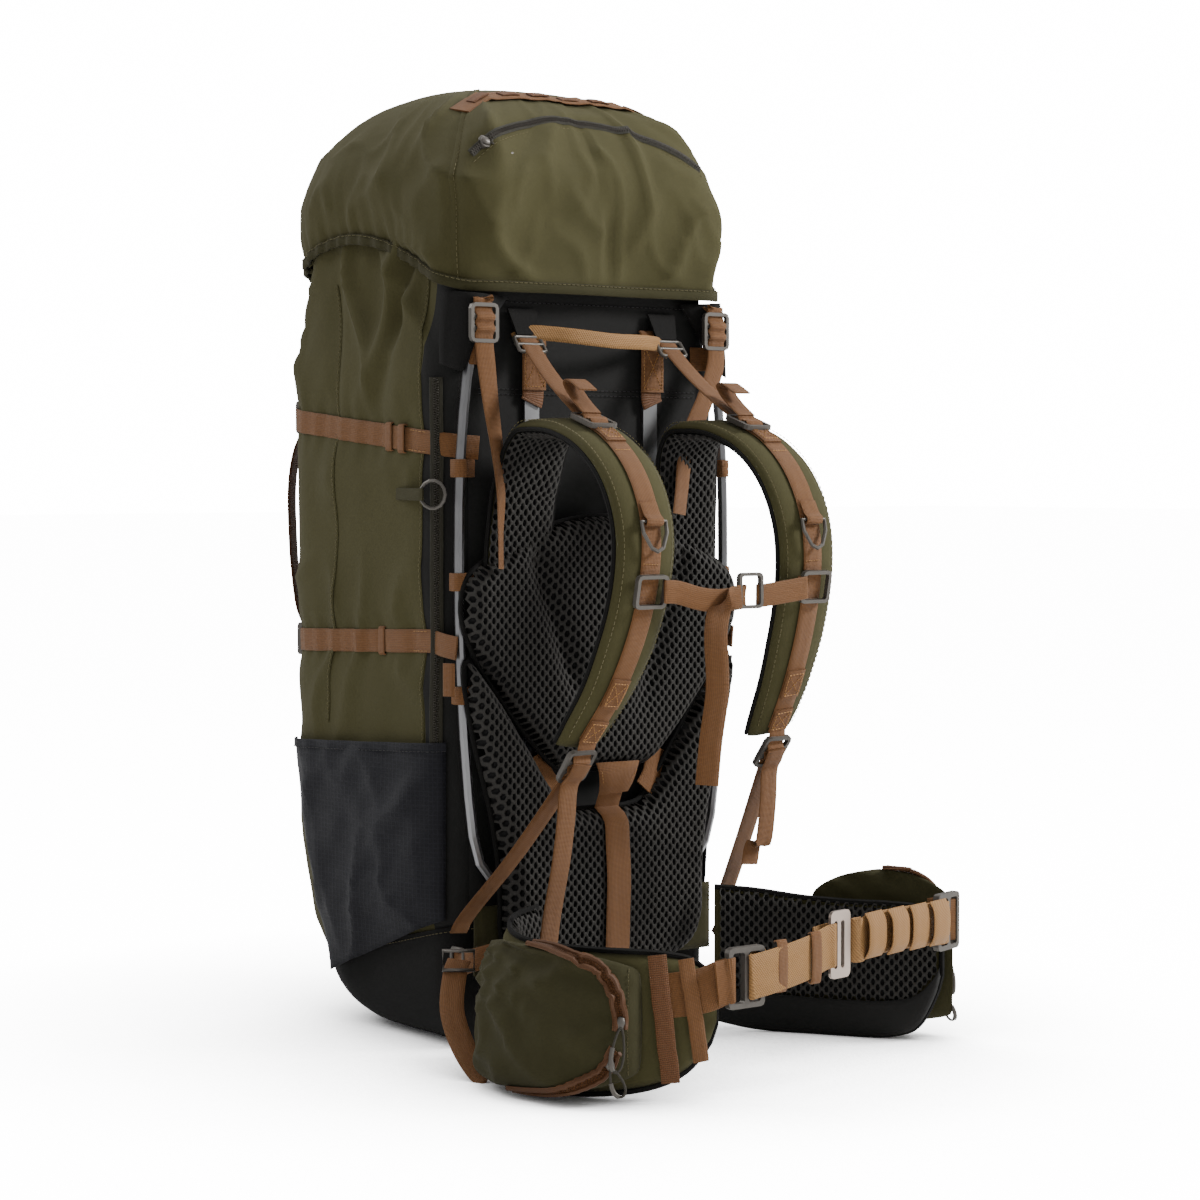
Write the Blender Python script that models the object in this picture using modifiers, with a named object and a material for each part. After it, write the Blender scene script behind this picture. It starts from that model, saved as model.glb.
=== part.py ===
"""Framed hunting backpack, standing on its base with the hip belt closed in front of it.

Metres, +Z up, origin on the floor under the middle of the whole pack. The wearer's back goes on the -Y
side, so "right" parts (the wearer's right) lie at -X and "left" parts at +X.
Run it with: blender --background --python part.py
"""

import math

import bmesh
import bpy
from mathutils import Matrix, Vector

# Joint origins.
STERNUM_HOOK_Y = -0.3375
LID_ZIP_PIVOT = (-0.006, -0.226, 0.642)
LID_ZIP_UP = Vector((0, 0.47, 0.88)).normalized()
LID_ZIP_RADIUS = 0.220
LID_ZIP_START = math.radians(-32)
HANDLE_PIVOT = (0.0, -0.1475, 0.642)
HOOK_PIVOT = Vector((0.0380, -0.4140, 0.1145))
GEAR_PIVOT = (-0.1748, -0.1134, 0.497)
ZIP_TAB = Vector((-0.1695, -0.1480, 0.335))


# ---------------------------------------------------------------- driving dimensions
GAP = 0.0004                 # clearance between pieces that touch on the real pack
WALL = 0.004                 # packcloth wall with its lining
BAG_HALF_WIDTH = 0.160
BAG_BACK = -0.125            # outer face of the bag's back wall
BAG_FRONT = 0.160
BAG_TOP = 0.745
BACK_RADIUS = 0.026          # vertical corners next to the wearer
FRONT_RADIUS = 0.075         # vertical corners at the front
BASE_SIDE_RADIUS = 0.045     # how the base turns up at the sides
BASE_BACK_RADIUS = 0.022
BASE_FRONT_RISE = 0.200      # height over which the front curves under
BASE_FRONT_INSET = 0.105
LOWER_TAPER = 0.009          # the walls draw in towards the base
NECK_IN = 0.0135             # the walls draw in under the lid
SEAM_BACK = 0.114            # height of the base seam at the back wall
SEAM_SLOPE = -0.24           # it falls towards the front
PANEL = 0.005                # back panel thickness
TUBE_RADIUS = 0.0045
TUBE_Y = -0.1388
STAY_X = 0.068
STAY_WIDTH = 0.016
STAY_THICK = 0.003
PAD_BACK = -0.1438           # the pads lie over the frame tubes
PAD_THICK = 0.024
WEB = 0.021                  # narrow webbing width
WEB_THICK = 0.0016
BELT_WEB = 0.038
BELT_WEB_THICK = 0.0022
LID_HALF_WIDTH = 0.154
LID_BACK = -0.148
LID_FRONT = 0.159
LID_BACK_RADIUS = 0.042
LID_FRONT_RADIUS = 0.074
LID_HEM = 0.680
LID_CROWN = 0.872
LID_WALL = 0.006
LID_CAVITY_TOP = 0.800
LID_HINGE = (0.0, -0.145, 0.676)
STRAP_X = 0.090
STRAP_WIDTH = 0.066
STRAP_THICK = 0.016
STRAP_HINGE = (-0.184, 0.564)  # Y and Z of the top face of the strap's arch

RIGHT, LEFT = -1, 1
SIDES = ((RIGHT, "right"), (LEFT, "left"))
UP = Vector((0, 0, 1))
ACROSS = Vector((1, 0, 0))

MATERIALS = {
    "olive_cloth": ((0.105, 0.098, 0.045), 0.85, 0.0),
    "dark_cloth": ((0.022, 0.024, 0.024), 0.85, 0.0),
    "navy_stretch": ((0.016, 0.017, 0.024), 0.8, 0.0),
    "spacer_mesh": ((0.028, 0.028, 0.028), 0.8, 0.0),
    "webbing": ((0.235, 0.105, 0.038), 0.75, 0.0),
    "belt_webbing": ((0.38, 0.22, 0.095), 0.75, 0.0),
    "buckle_plastic": ((0.12, 0.115, 0.105), 0.45, 0.0),
    "bare_aluminium": ((0.75, 0.76, 0.78), 0.3, 1.0),
    "hook_alloy": ((0.72, 0.66, 0.61), 0.4, 1.0),
    "frame_board": ((0.03, 0.03, 0.03), 0.6, 0.0),
}


# ---------------------------------------------------------------- scene and material helpers
def clear_scene():
    for obj in list(bpy.data.objects):
        bpy.data.objects.remove(obj)


def collection(name):
    made = bpy.data.collections.new(name)
    bpy.context.scene.collection.children.link(made)
    return made


def material(name):
    found = bpy.data.materials.get(name)
    if found:
        return found
    colour, roughness, metallic = MATERIALS[name]
    made = bpy.data.materials.new(name)
    made.use_nodes = True
    shader = made.node_tree.nodes["Principled BSDF"]
    shader.inputs["Base Color"].default_value = (*colour, 1.0)
    shader.inputs["Roughness"].default_value = roughness
    shader.inputs["Metallic"].default_value = metallic
    return made


def add_object(name, data, slot, origin=(0, 0, 0)):
    """Puts mesh or curve data, given in world coordinates, in the scene with its origin at a joint."""
    obj = bpy.data.objects.new(name, data)
    pack.objects.link(obj)
    obj.data.materials.append(material(slot))
    obj.data.transform(Matrix.Translation(-Vector(origin)))
    obj.location = origin
    return obj


# ---------------------------------------------------------------- routes and lofts
def smooth(points, per_span=3):
    """A Catmull-Rom curve through the points."""
    points = [Vector(p) for p in points]
    ends = [2 * points[0] - points[1], *points, 2 * points[-1] - points[-2]]
    route = []
    for i in range(1, len(ends) - 2):
        a, b, c, d = ends[i - 1 : i + 3]
        for k in range(per_span):
            t = k / per_span
            route.append(0.5 * (2 * b + (c - a) * t + (2 * a - 5 * b + 4 * c - d) * t * t
                                + (3 * b - a - 3 * c + d) * t ** 3))
    return [*route, points[-1]]


def frames(route, side):
    """(point, across, outward) along a route; side is a vector, or one for each point."""
    found = []
    for i, point in enumerate(route):
        tangent = (route[min(i + 1, len(route) - 1)] - route[max(i - 1, 0)]).normalized()
        wanted = Vector(side[i]) if isinstance(side, list) else side
        across = (wanted - wanted.dot(tangent) * tangent).normalized()
        found.append((point, across, tangent.cross(across).normalized()))
    return found


def loft(name, rings, slot, wrap=False, origin=(0, 0, 0)):
    """One closed solid through rings of equal length: capped at both ends, or joined last to first."""
    mesh = bmesh.new()
    rows = [[mesh.verts.new(p) for p in ring] for ring in rings]
    count = len(rows[0])
    pairs = list(zip(rows, rows[1:]))
    if wrap:
        pairs.append((rows[-1], rows[0]))
    else:
        mesh.faces.new(rows[0])
        mesh.faces.new(rows[-1])
    for low, high in pairs:
        for k in range(count):
            n = (k + 1) % count
            mesh.faces.new((low[k], low[n], high[n], high[k]))
    bmesh.ops.recalc_face_normals(mesh, faces=mesh.faces)
    data = bpy.data.meshes.new(name)
    mesh.to_mesh(data)
    mesh.free()
    obj = add_object(name, data, slot, origin)
    data.shade_smooth()
    data.set_sharp_from_angle(angle=math.radians(50))
    return obj


def strip(name, route, side, width, thick, slot, lift=0.0, origin=(0, 0, 0)):
    """Webbing: a flat rectangle carried along a route. lift moves it along its outward face."""
    rings = []
    for point, across, out in frames(route, side):
        a, low, high = across * width / 2, out * (lift - thick / 2), out * (lift + thick / 2)
        rings.append([point - a + low, point + a + low, point + a + high, point - a + high])
    return loft(name, rings, slot, origin=origin)


def cushion(name, route, side, widths, thick, slot, edge=0.35, origin=(0, 0, 0)):
    """A foam strip with rounded edges; widths has one value for each point of the route."""
    rings = []
    for (point, across, out), width in zip(frames(route, side), widths):
        w, t = width / 2, thick / 2
        e = edge * thick
        crown = t * 1.05
        corners = ((-w, 0), (-w + e, -t), (0, -crown), (w - e, -t), (w, 0), (w - e, t), (0, crown),
                   (-w + e, t))
        rings.append([point + across * a + out * b for a, b in corners])
    return loft(name, rings, slot, origin=origin)


def spread(first, last, count):
    """Evenly spaced values."""
    return [first + (last - first) * i / (count - 1) for i in range(count)]


def plate(name, outline, thick, place, slot, bevel=0.0, origin=(0, 0, 0)):
    """A flat plate from an outline, and any holes in it, placed by a matrix with its face to local +Z."""
    curve = bpy.data.curves.new(name + "_outline", "CURVE")
    curve.dimensions = "2D"
    curve.fill_mode = "BOTH"
    curve.extrude = thick / 2
    for loop in outline:
        spline = curve.splines.new("POLY")
        spline.points.add(len(loop) - 1)
        for point, (x, y) in zip(spline.points, loop):
            point.co = (x, y, 0, 1)
        spline.use_cyclic_u = True
    flat = bpy.data.objects.new(name + "_flat", curve)
    bpy.context.scene.collection.objects.link(flat)
    bpy.context.view_layer.update()
    graph = bpy.context.evaluated_depsgraph_get()
    data = bpy.data.meshes.new_from_object(flat.evaluated_get(graph))
    data.name = name
    bpy.data.objects.remove(flat)
    mesh = bmesh.new()
    mesh.from_mesh(data)
    bmesh.ops.remove_doubles(mesh, verts=mesh.verts, dist=0.00001)
    bmesh.ops.recalc_face_normals(mesh, faces=mesh.faces)
    mesh.to_mesh(data)
    mesh.free()
    data.materials.clear()
    data.transform(place)
    obj = add_object(name, data, slot, origin)
    if bevel:
        rounding = obj.modifiers.new("rounded_edges", "BEVEL")
        rounding.width = bevel
        rounding.segments = 1
        rounding.angle_limit = math.radians(60)
        rounding.use_clamp_overlap = True
    return obj


def tube(name, route, radius, slot, cyclic=False, sides=2, origin=(0, 0, 0)):
    """A round bar along a route."""
    curve = bpy.data.curves.new(name, "CURVE")
    curve.dimensions = "3D"
    curve.bevel_depth = radius
    curve.bevel_resolution = sides
    curve.use_fill_caps = True
    spline = curve.splines.new("POLY")
    spline.points.add(len(route) - 1)
    for point, co in zip(spline.points, route):
        point.co = (*co, 1)
    spline.use_cyclic_u = cyclic
    return add_object(name, curve, slot, origin)


def box_rounded(half_x, half_y, radius, steps=3):
    """A rectangle with round corners, anticlockwise, round its middle."""
    loop = []
    for quarter, (sx, sy) in enumerate(((1, 1), (-1, 1), (-1, -1), (1, -1))):
        for k in range(steps + 1):
            turn = math.radians(90) * (quarter + k / steps)
            loop.append((sx * (half_x - radius) + radius * math.cos(turn),
                         sy * (half_y - radius) + radius * math.sin(turn)))
    return loop


def shifted(loop, x, y):
    return [(a + x, b + y) for a, b in loop]


def facing(point, across, out):
    """A matrix whose local X runs across and local Z faces out, at a point."""
    across, out = Vector(across).normalized(), Vector(out).normalized()
    up = out.cross(across)
    turn = Matrix((across, up, out)).transposed().to_4x4()
    return Matrix.Translation(point) @ turn


# ---------------------------------------------------------------- the bag's own surface
def quarter_inset(height, rise, inset):
    """How far a wall stands in at a height, where it curves under over the given rise."""
    if height >= rise:
        return 0.0
    share = (rise - height) / rise
    return inset * (1 - math.sqrt(max(0.0, 1 - share * share)))


def half_outline(z, out=0.0, arc=4):
    """Half of the bag's outline at a height, from the middle of the back to the middle of the front, at +X."""
    waist = 0.004 * math.sin(math.pi * min(1, max(0, z / BAG_TOP)))
    taper = LOWER_TAPER * max(0.0, 1 - z / 0.45)
    side_inset = quarter_inset(z, BASE_SIDE_RADIUS, BASE_SIDE_RADIUS)
    half = BAG_HALF_WIDTH - 0.004 + waist - taper - side_inset + out
    back = BAG_BACK + quarter_inset(z, BASE_BACK_RADIUS, BASE_BACK_RADIUS) - out
    front = BAG_FRONT - quarter_inset(z, BASE_FRONT_RISE, BASE_FRONT_INSET) + out
    neck = min(1.0, max(0.0, (z - 0.60) / 0.08))
    half -= NECK_IN * neck * neck * (3 - 2 * neck)
    front -= 0.03 * max(0.0, (z - 0.62) / (BAG_TOP - 0.62)) ** 2
    rb, rf = BACK_RADIUS + out, min(FRONT_RADIUS + out, 0.45 * (front - back))
    points = [(0, back), ((half - rb) / 2, back)]
    for k in range(arc + 1):
        turn = math.radians(-90 + 90 * k / arc)
        points.append((half - rb + rb * math.cos(turn), back + rb + rb * math.sin(turn)))
    for k in (1, 2):
        points.append((half, back + rb + (front - rf - back - rb) * k / 3))
    for k in range(arc + 1):
        turn = math.radians(90 * k / arc)
        points.append((half - rf + rf * math.cos(turn), front - rf + rf * math.sin(turn)))
    return [*points, ((half - rf) / 2, front), (0, front)]


def full_ring(heights, out=0.0):
    """The whole outline as 3-D points, each point at its own height."""
    half = [half_outline(z, out)[i] for i, z in enumerate(heights)]
    right = [Vector((-x, y, z)) for (x, y), z in zip(half, heights)]
    left = [Vector((x, y, z)) for (x, y), z in zip(half, heights)]
    return right + left[-2:0:-1]


def wall_point(side, distance, z, out=0.0):
    """The point of the bag's wall that lies a distance round from the middle of the back."""
    points = half_outline(z, out, arc=8)
    for (ax, ay), (bx, by) in zip(points, points[1:]):
        step = math.hypot(bx - ax, by - ay)
        if distance <= step:
            share = distance / step
            return Vector((side * (ax + (bx - ax) * share), ay + (by - ay) * share, z))
        distance -= step
    return Vector((0, points[-1][1], z))


def seam_heights(lift=0.0):
    """Height of the base seam at each point of the outline."""
    return [SEAM_BACK + SEAM_SLOPE * (y - BAG_BACK) + lift for _, y in half_outline(0.1)]


def patch(name, side, reach, height, offset, thick, slot, columns=9, rows_up=5):
    """A cloth panel that stands off the bag's wall: reach(v) gives its first and last distance round the
    wall, height(u, v) its height, and offset(u, v) how far it stands off, with u and v from 0 to 1."""
    rows = []
    for outer in (0.0, thick):
        grid = []
        for v in spread(0, 1, rows_up):
            first, last = reach(v)
            grid.append([wall_point(side, first + (last - first) * u, height(u, v), offset(u, v) + outer)
                         for u in spread(0, 1, columns)])
        rows.append(grid)
    inner, outer = rows
    return loft(name, [a + b[::-1] for a, b in zip(inner, outer)], slot)


# ---------------------------------------------------------------- bag, base, collar, frame
def make_bag():
    seam = seam_heights(GAP / 2)
    tops = [BAG_TOP - 0.012 * abs(y - 0.01) / 0.15 for _, y in half_outline(0.7)]
    levels = (0, 0.12, 0.3, 0.52, 0.74, 0.9, 1)
    heights = [[a + (b - a) * level for a, b in zip(seam, tops)] for level in levels]
    outer = [full_ring(row) for row in heights]
    inner = [full_ring(row, -WALL) for row in heights]
    return loft("main_bag", outer + inner[::-1], "olive_cloth", wrap=True)


def make_base():
    seam = seam_heights(-GAP / 2)
    levels = (0, 0.035, 0.12, 0.3, 0.6, 1)
    outer = [full_ring([z * level for z in seam]) for level in levels]
    floor = [[WALL + (z - WALL) * level for z in seam] for level in levels]
    inner = [full_ring(row, -WALL) for row in floor]
    return loft("base_boot", outer + inner[::-1], "dark_cloth")


def make_collar():
    """The gathered snow collar inside the bag's mouth, left open as wide as two hands."""
    rings = []
    for wall in (0.0, -0.002):
        part = []
        for z, shrink in ((0.690, 0.985), (0.735, 0.95), (0.765, 0.80), (0.785, 0.62)):
            ring = full_ring([z if z < BAG_TOP else BAG_TOP] * len(half_outline(0.7)),
                             -WALL - 0.0035 + wall)
            part.append([Vector((p.x * shrink, 0.005 + (p.y - 0.005) * shrink, z)) for p in ring])
        rings.append(part)
    return loft("snow_collar", rings[0] + rings[1][::-1], "olive_cloth", wrap=True)


def make_back():
    top, bottom = 0.722, 0.126
    middle = (top + bottom) / 2
    front = BAG_BACK - GAP
    outline = shifted(box_rounded(BAG_HALF_WIDTH - BACK_RADIUS - 0.001, (top - bottom) / 2, 0.012), 0, 0)
    place = facing((0, front - PANEL / 2, middle), ACROSS, (0, -1, 0))
    plate("back_panel", [outline], PANEL, place, "dark_cloth")
    inside = BAG_BACK + WALL + GAP
    board = box_rounded(0.120, 0.265, 0.03)
    plate("frame_board", [board], 0.002, facing((0, inside + 0.001, 0.40), ACROSS, (0, -1, 0)),
          "frame_board")
    bar_y = front - PANEL - GAP - STAY_THICK / 2
    for side, word in SIDES:
        bar = box_rounded(STAY_WIDTH / 2, 0.250, 0.006, 2)
        place = facing((side * STAY_X, bar_y, 0.395), ACROSS, (0, -1, 0))
        plate(f"stay_{word}", [bar], STAY_THICK, place, "bare_aluminium")


def make_hoop():
    """The bent tube down both edges of the back and across behind the lumbar pad."""
    leg = [(0.129, 0.655), (0.136, 0.627), (0.143, 0.60), (0.150, 0.53), (0.152, 0.44), (0.150, 0.34),
           (0.142, 0.23), (0.130, 0.17), (0.100, 0.146), (0.05, 0.140)]
    right = smooth([(-x, TUBE_Y, z) for x, z in leg] + [(0, TUBE_Y, 0.139)], 2)
    left = [Vector((-p.x, p.y, p.z)) for p in right[-2::-1]]
    return tube("frame_hoop", right + left, TUBE_RADIUS, "bare_aluminium")


def pad_outline(half):
    """Closes a half outline, listed down its +X side, across the middle."""
    return half + [(-x, z) for x, z in reversed(half) if x > 0]


def make_pads():
    out = (0, -1, 0)
    shield = [(0.0, 0.477), (0.05, 0.471), (0.10, 0.452), (0.137, 0.434), (0.152, 0.416), (0.154, 0.385),
              (0.135, 0.345), (0.10, 0.300), (0.065, 0.262), (0.045, 0.250), (0.0, 0.247)]
    middle = PAD_BACK - PAD_THICK / 2
    plate("back_pad", [pad_outline(shield)], PAD_THICK,
          facing((0, middle, 0), ACROSS, out), "spacer_mesh", bevel=0.007)
    cradle = [(0.0, 0.212), (0.040, 0.214), (0.060, 0.232), (0.085, 0.268), (0.118, 0.315), (0.140, 0.342),
              (0.150, 0.350), (0.151, 0.325), (0.139, 0.27), (0.122, 0.21), (0.113, 0.15), (0.111, 0.10),
              (0.085, 0.070), (0.0, 0.062)]
    thick = PAD_THICK + 0.002
    plate("lumbar_pad", [pad_outline(cradle)], thick,
          facing((0, PAD_BACK - thick / 2, 0), ACROSS, out), "spacer_mesh", bevel=0.007)


# ---------------------------------------------------------------- pockets and compression straps
def standoff(rise):
    """A pocket's bulge: closed at its foot and its upright edges, open at the top."""
    return lambda u, v: 0.0032 + rise * min(1, 4 * v) * min(1, 7 * u, 7 * (1 - u))


def pocket_reach(v):
    return 0.152, 0.325 + 0.072 * v


def pocket_height(u, v):
    """Its foot follows the base seam and its hem falls a little towards the front."""
    foot = SEAM_BACK + 0.004 - 0.066 * u
    hem = 0.277 - 0.012 * u
    return foot + (hem - foot) * v


def make_pockets():
    for side, word in SIDES:
        bulge = standoff(0.012)
        patch(f"side_pocket_{word}", side, pocket_reach, pocket_height, bulge, 0.002, "navy_stretch")
    front = half_outline(0.4)[-1][1]
    shell = []
    for z, bulge in ((0.215, 0.002), (0.235, 0.012), (0.42, 0.014), (0.59, 0.012), (0.615, 0.002)):
        y = front + GAP
        row = [(-0.078, 0), (0.078, 0), (0.078, 0.4), (0.060, 1), (-0.060, 1), (-0.078, 0.4)]
        shell.append([Vector((x, y + bulge * depth, z)) for x, depth in row])
    loft("front_pocket", shell, "olive_cloth")


def make_compression():
    for side, word in SIDES:
        for z, drop, level in ((0.569, 0.027, "upper"), (0.357, -0.010, "lower")):
            distances = [0.160, 0.178, 0.20, 0.25, 0.30, 0.345, 0.37, 0.39, 0.41, 0.43]
            route = [wall_point(side, d, z - drop * (0.43 - d) / 0.27, 0.0028) for d in distances]
            corner = route[0]
            route.insert(0, Vector((corner.x + side * 0.0015, corner.y - 0.0225, corner.z)))
            route.insert(0, Vector((corner.x + side * 0.0005, corner.y - 0.0450, corner.z)))
            strip(f"compression_{level}_{word}", route, UP, WEB, WEB_THICK, "webbing")
            here, near = wall_point(side, 0.452, z, 0.006), wall_point(side, 0.462, z, 0.006)
            along = (near - here).normalized()
            out = along.cross(UP) * side
            frame_loops = [box_rounded(0.016, 0.0155, 0.004, 2), box_rounded(0.011, 0.0115, 0.002, 1)[::-1]]
            name = f"compression_buckle_{level}_{word}"
            plate(name, frame_loops, 0.005, facing(here, along, out), "buckle_plastic")


# ---------------------------------------------------------------- lid
def lid_half_outline(z, out=0.0):
    """Half of the hood's outline: a box with wide corners that closes in towards the crown."""
    rise = max(0.0, z - 0.745) / (LID_CROWN - 0.745)
    shrink = math.sqrt(max(0.0, 1 - rise ** 2.4))
    half = 0.035 + (LID_HALF_WIDTH - 0.035) * shrink + out
    middle = 0.030
    back = middle + (LID_BACK - middle) * (0.22 + 0.78 * shrink) - out
    front = middle - 0.01 + (LID_FRONT - middle + 0.01) * (0.22 + 0.78 * shrink) + out
    rb, rf = LID_BACK_RADIUS + out, LID_FRONT_RADIUS + out
    if rise > 0:
        rb = rb + (0.05 - rb) * rise * rise
    rb, rf = min(rb, 0.45 * (front - back), 0.9 * half), min(rf, 0.45 * (front - back), 0.9 * half)
    points = [(0, back), ((half - rb) / 2, back)]
    for k in range(5):
        turn = math.radians(-90 + 22.5 * k)
        points.append((half - rb + rb * math.cos(turn), back + rb + rb * math.sin(turn)))
    points.append((half, (back + front) / 2))
    for k in range(5):
        turn = math.radians(22.5 * k)
        points.append((half - rf + rf * math.cos(turn), front - rf + rf * math.sin(turn)))
    return [*points, ((half - rf) / 2, front), (0, front)]


def lid_hem(y):
    """The hem is level at the back, arches over the side and drops a little at the front."""
    share = min(1, max(0, (y + 0.14) / 0.30))
    return LID_HEM + 0.062 * math.sin(math.pi * min(1, share * 0.86)) ** 1.3


def lid_ring(level, out=0.0, top=LID_CROWN):
    """A ring of the hood: level 0 is the hem, and level 1 its top."""
    guide = lid_half_outline(0.70, out)
    heights = [lid_hem(y) + (top - lid_hem(y)) * level for _, y in guide]
    half = [lid_half_outline(z, out)[i] for i, z in enumerate(heights)]
    right = [Vector((-x, y, z)) for (x, y), z in zip(half, heights)]
    left = [Vector((x, y, z)) for (x, y), z in zip(half, heights)]
    return right + left[-2:0:-1]


def make_lid():
    outer = [lid_ring(level) for level in (0, 0.2, 0.42, 0.62, 0.79, 0.91, 0.975, 1)]
    inner = [lid_ring(level, -LID_WALL, LID_CAVITY_TOP) for level in (0, 0.35, 0.7, 1)]
    loft("lid_hood", outer[::-1] + inner, "olive_cloth", origin=LID_HINGE)
    for side, word in SIDES:
        ladder_buckle(f"lid_buckle_{word}", Vector((side * 0.133, -0.1505, 0.6475)), ACROSS, (0, -1, 0))
    slider = box_rounded(0.0045, 0.006, 0.002, 2)
    start = Vector(LID_ZIP_PIVOT) + LID_ZIP_RADIUS * (math.cos(LID_ZIP_START) * LID_ZIP_UP
                                                      + math.sin(LID_ZIP_START) * ACROSS)
    out = ACROSS.cross(LID_ZIP_UP)
    plate("lid_zip_slider", [slider], 0.004, facing(start, ACROSS, out), "bare_aluminium",
          origin=LID_ZIP_PIVOT)


# ---------------------------------------------------------------- buckles
def ladder_buckle(name, point, across, out, origin=(0, 0, 0), width=WEB):
    """A ladder lock: a frame with two cross bars, which webbing is threaded round."""
    half = width / 2 + 0.0045
    outline = box_rounded(half, 0.0175, 0.005, 2)
    slot = box_rounded(width / 2 + 0.001, 0.0036, 0.0012, 1)
    slots = [shifted(slot, 0, y)[::-1] for y in (-0.0105, 0, 0.0105)]
    return plate(name, [outline, *slots], 0.0042, facing(point, across, out), "buckle_plastic",
                 origin=origin)


def loop_buckle(name, point, across, out, half_x, half_y, bar, thick, slot, origin=(0, 0, 0), split=False):
    """A rectangular loop, or one with a middle bar that makes two slots."""
    outline = box_rounded(half_x, half_y, 0.004, 2)
    if split:
        inner = (half_x - 1.5 * bar) / 2
        hole = box_rounded(inner, half_y - bar, 0.0015, 1)
        holes = [shifted(hole, sign * (inner + bar / 2), 0)[::-1] for sign in (-1, 1)]
    else:
        holes = [box_rounded(half_x - bar, half_y - bar, 0.002, 2)[::-1]]
    return plate(name, [outline, *holes], thick, facing(point, across, out), slot, origin=origin)


# ---------------------------------------------------------------- shoulder harness
STRAP_ROUTE = [(0.086, -0.192, 0.5555), (0.0875, -0.230, 0.553), (0.0885, -0.270, 0.538),
               (0.089, -0.302, 0.510), (0.090, -0.320, 0.472), (0.092, -0.3215, 0.430),
               (0.095, -0.310, 0.384), (0.100, -0.289, 0.338), (0.106, -0.266, 0.303),
               (0.110, -0.250, 0.282)]
RISER_ROUTE = [(0.094, -0.1525, 0.487), (0.093, -0.1540, 0.499), (0.0905, -0.1570, 0.513),
               (0.088, -0.163, 0.536), (0.0865, -0.176, 0.5525), (0.086, -0.1875, 0.5555)]


def mirrored(points, side):
    return [Vector((side * x, y, z)) for x, y, z in points]


def strap_hinge(side):
    return (side * STRAP_X, *STRAP_HINGE)


def strap_frame(side, share):
    """A point of the shoulder strap's middle line, with its tangent and outward face."""
    route = smooth(mirrored(STRAP_ROUTE, side), 8)
    index = round(share * (len(route) - 1))
    point, across, out = frames(route, ACROSS)[index]
    tangent = (route[min(index + 1, len(route) - 1)] - route[max(index - 1, 0)]).normalized()
    return point, tangent, -out if out.y > 0 else out


def make_harness():
    for side, word in SIDES:
        hinge = strap_hinge(side)
        riser = smooth(mirrored(RISER_ROUTE, side), 2)
        widths = spread(0.070, STRAP_WIDTH, len(riser))
        cushion(f"shoulder_riser_{word}", riser, ACROSS, widths, STRAP_THICK, "spacer_mesh")
        route = smooth(mirrored(STRAP_ROUTE, side), 2)
        shares = [i / (len(route) - 1) for i in range(len(route))]
        widths = [STRAP_WIDTH * (1 - 0.25 * max(0, share - 0.7) / 0.3) for share in shares]
        cushion(f"shoulder_pad_{word}", route, ACROSS, widths, STRAP_THICK, "olive_cloth", origin=hinge)
        web_route, offset = smooth(mirrored(STRAP_ROUTE, side), 2)[3:-1], STRAP_THICK / 2 + 0.0018
        lifted = []
        for point, across, out in frames(web_route, ACROSS):
            lifted.append(point + (out if out.dot(Vector((0, -1, 0.4))) > 0 else -out) * offset)
        strip(f"shoulder_webbing_{word}", lifted, ACROSS, WEB, WEB_THICK, "webbing", origin=hinge)
        for what, share, rise in (("lifter_buckle", 0.15, 0.0130), ("lower_buckle", 1.03, 0.0150)):
            point, tangent, out = strap_frame(side, min(share, 1.0))
            extra = tangent * max(0, share - 1) * 0.35
            ladder_buckle(f"{what}_{word}", point + extra + out * rise, ACROSS, out, hinge)


def make_d_rings():
    for side, word in SIDES:
        point, tangent, out = strap_frame(side, 0.440)
        lift = STRAP_THICK / 2 + 0.0062
        pivot = point + out * lift
        place = facing(pivot, ACROSS, out)
        shape = [(-0.013, 0.0), (0.013, 0.0), (0.0125, -0.010), (0.006, -0.023), (0.0, -0.026),
                 (-0.006, -0.023), (-0.0125, -0.010)]
        flip = 1 if (place.to_3x3() @ Vector((0, -1, 0))).dot(tangent) > 0 else -1
        route = [place @ Vector((x, flip * y, 0)) for x, y in shape]
        tube(f"d_ring_{word}", route, 0.0018, "buckle_plastic", cyclic=True, sides=1, origin=pivot)


def make_sternum():
    for side, word in SIDES:
        point, tangent, out = strap_frame(side, 0.590)
        origin = point + out * (STRAP_THICK / 2 + 0.0062)
        name = f"sternum_slider_{word}"
        loop_buckle(name, origin, ACROSS, out, 0.0165, 0.0145, 0.0032, 0.0045, "buckle_plastic",
                    origin=origin)
        start = origin + Vector((-side * 0.0205, 0, 0))
        end = Vector((-0.0030 if side == RIGHT else 0.0310, origin.y - 0.002, origin.z - 0.004))
        first = start.lerp(end, 0.35) + Vector((0, -0.003, -0.003))
        second = start.lerp(end, 0.7) + Vector((0, -0.003, -0.005))
        route = [start, first, second, end]
        strip(f"sternum_webbing_{word}", smooth(route, 2), UP, WEB, WEB_THICK, "webbing", origin=origin)
    point = Vector((0.014, STERNUM_HOOK_Y, strap_frame(RIGHT, 0.590)[0].z - 0.004))
    loop_buckle("sternum_hook", point, ACROSS, (0, -1, 0), 0.0135, 0.0155, 0.003, 0.0045, "buckle_plastic",
                split=False, origin=point)


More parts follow.
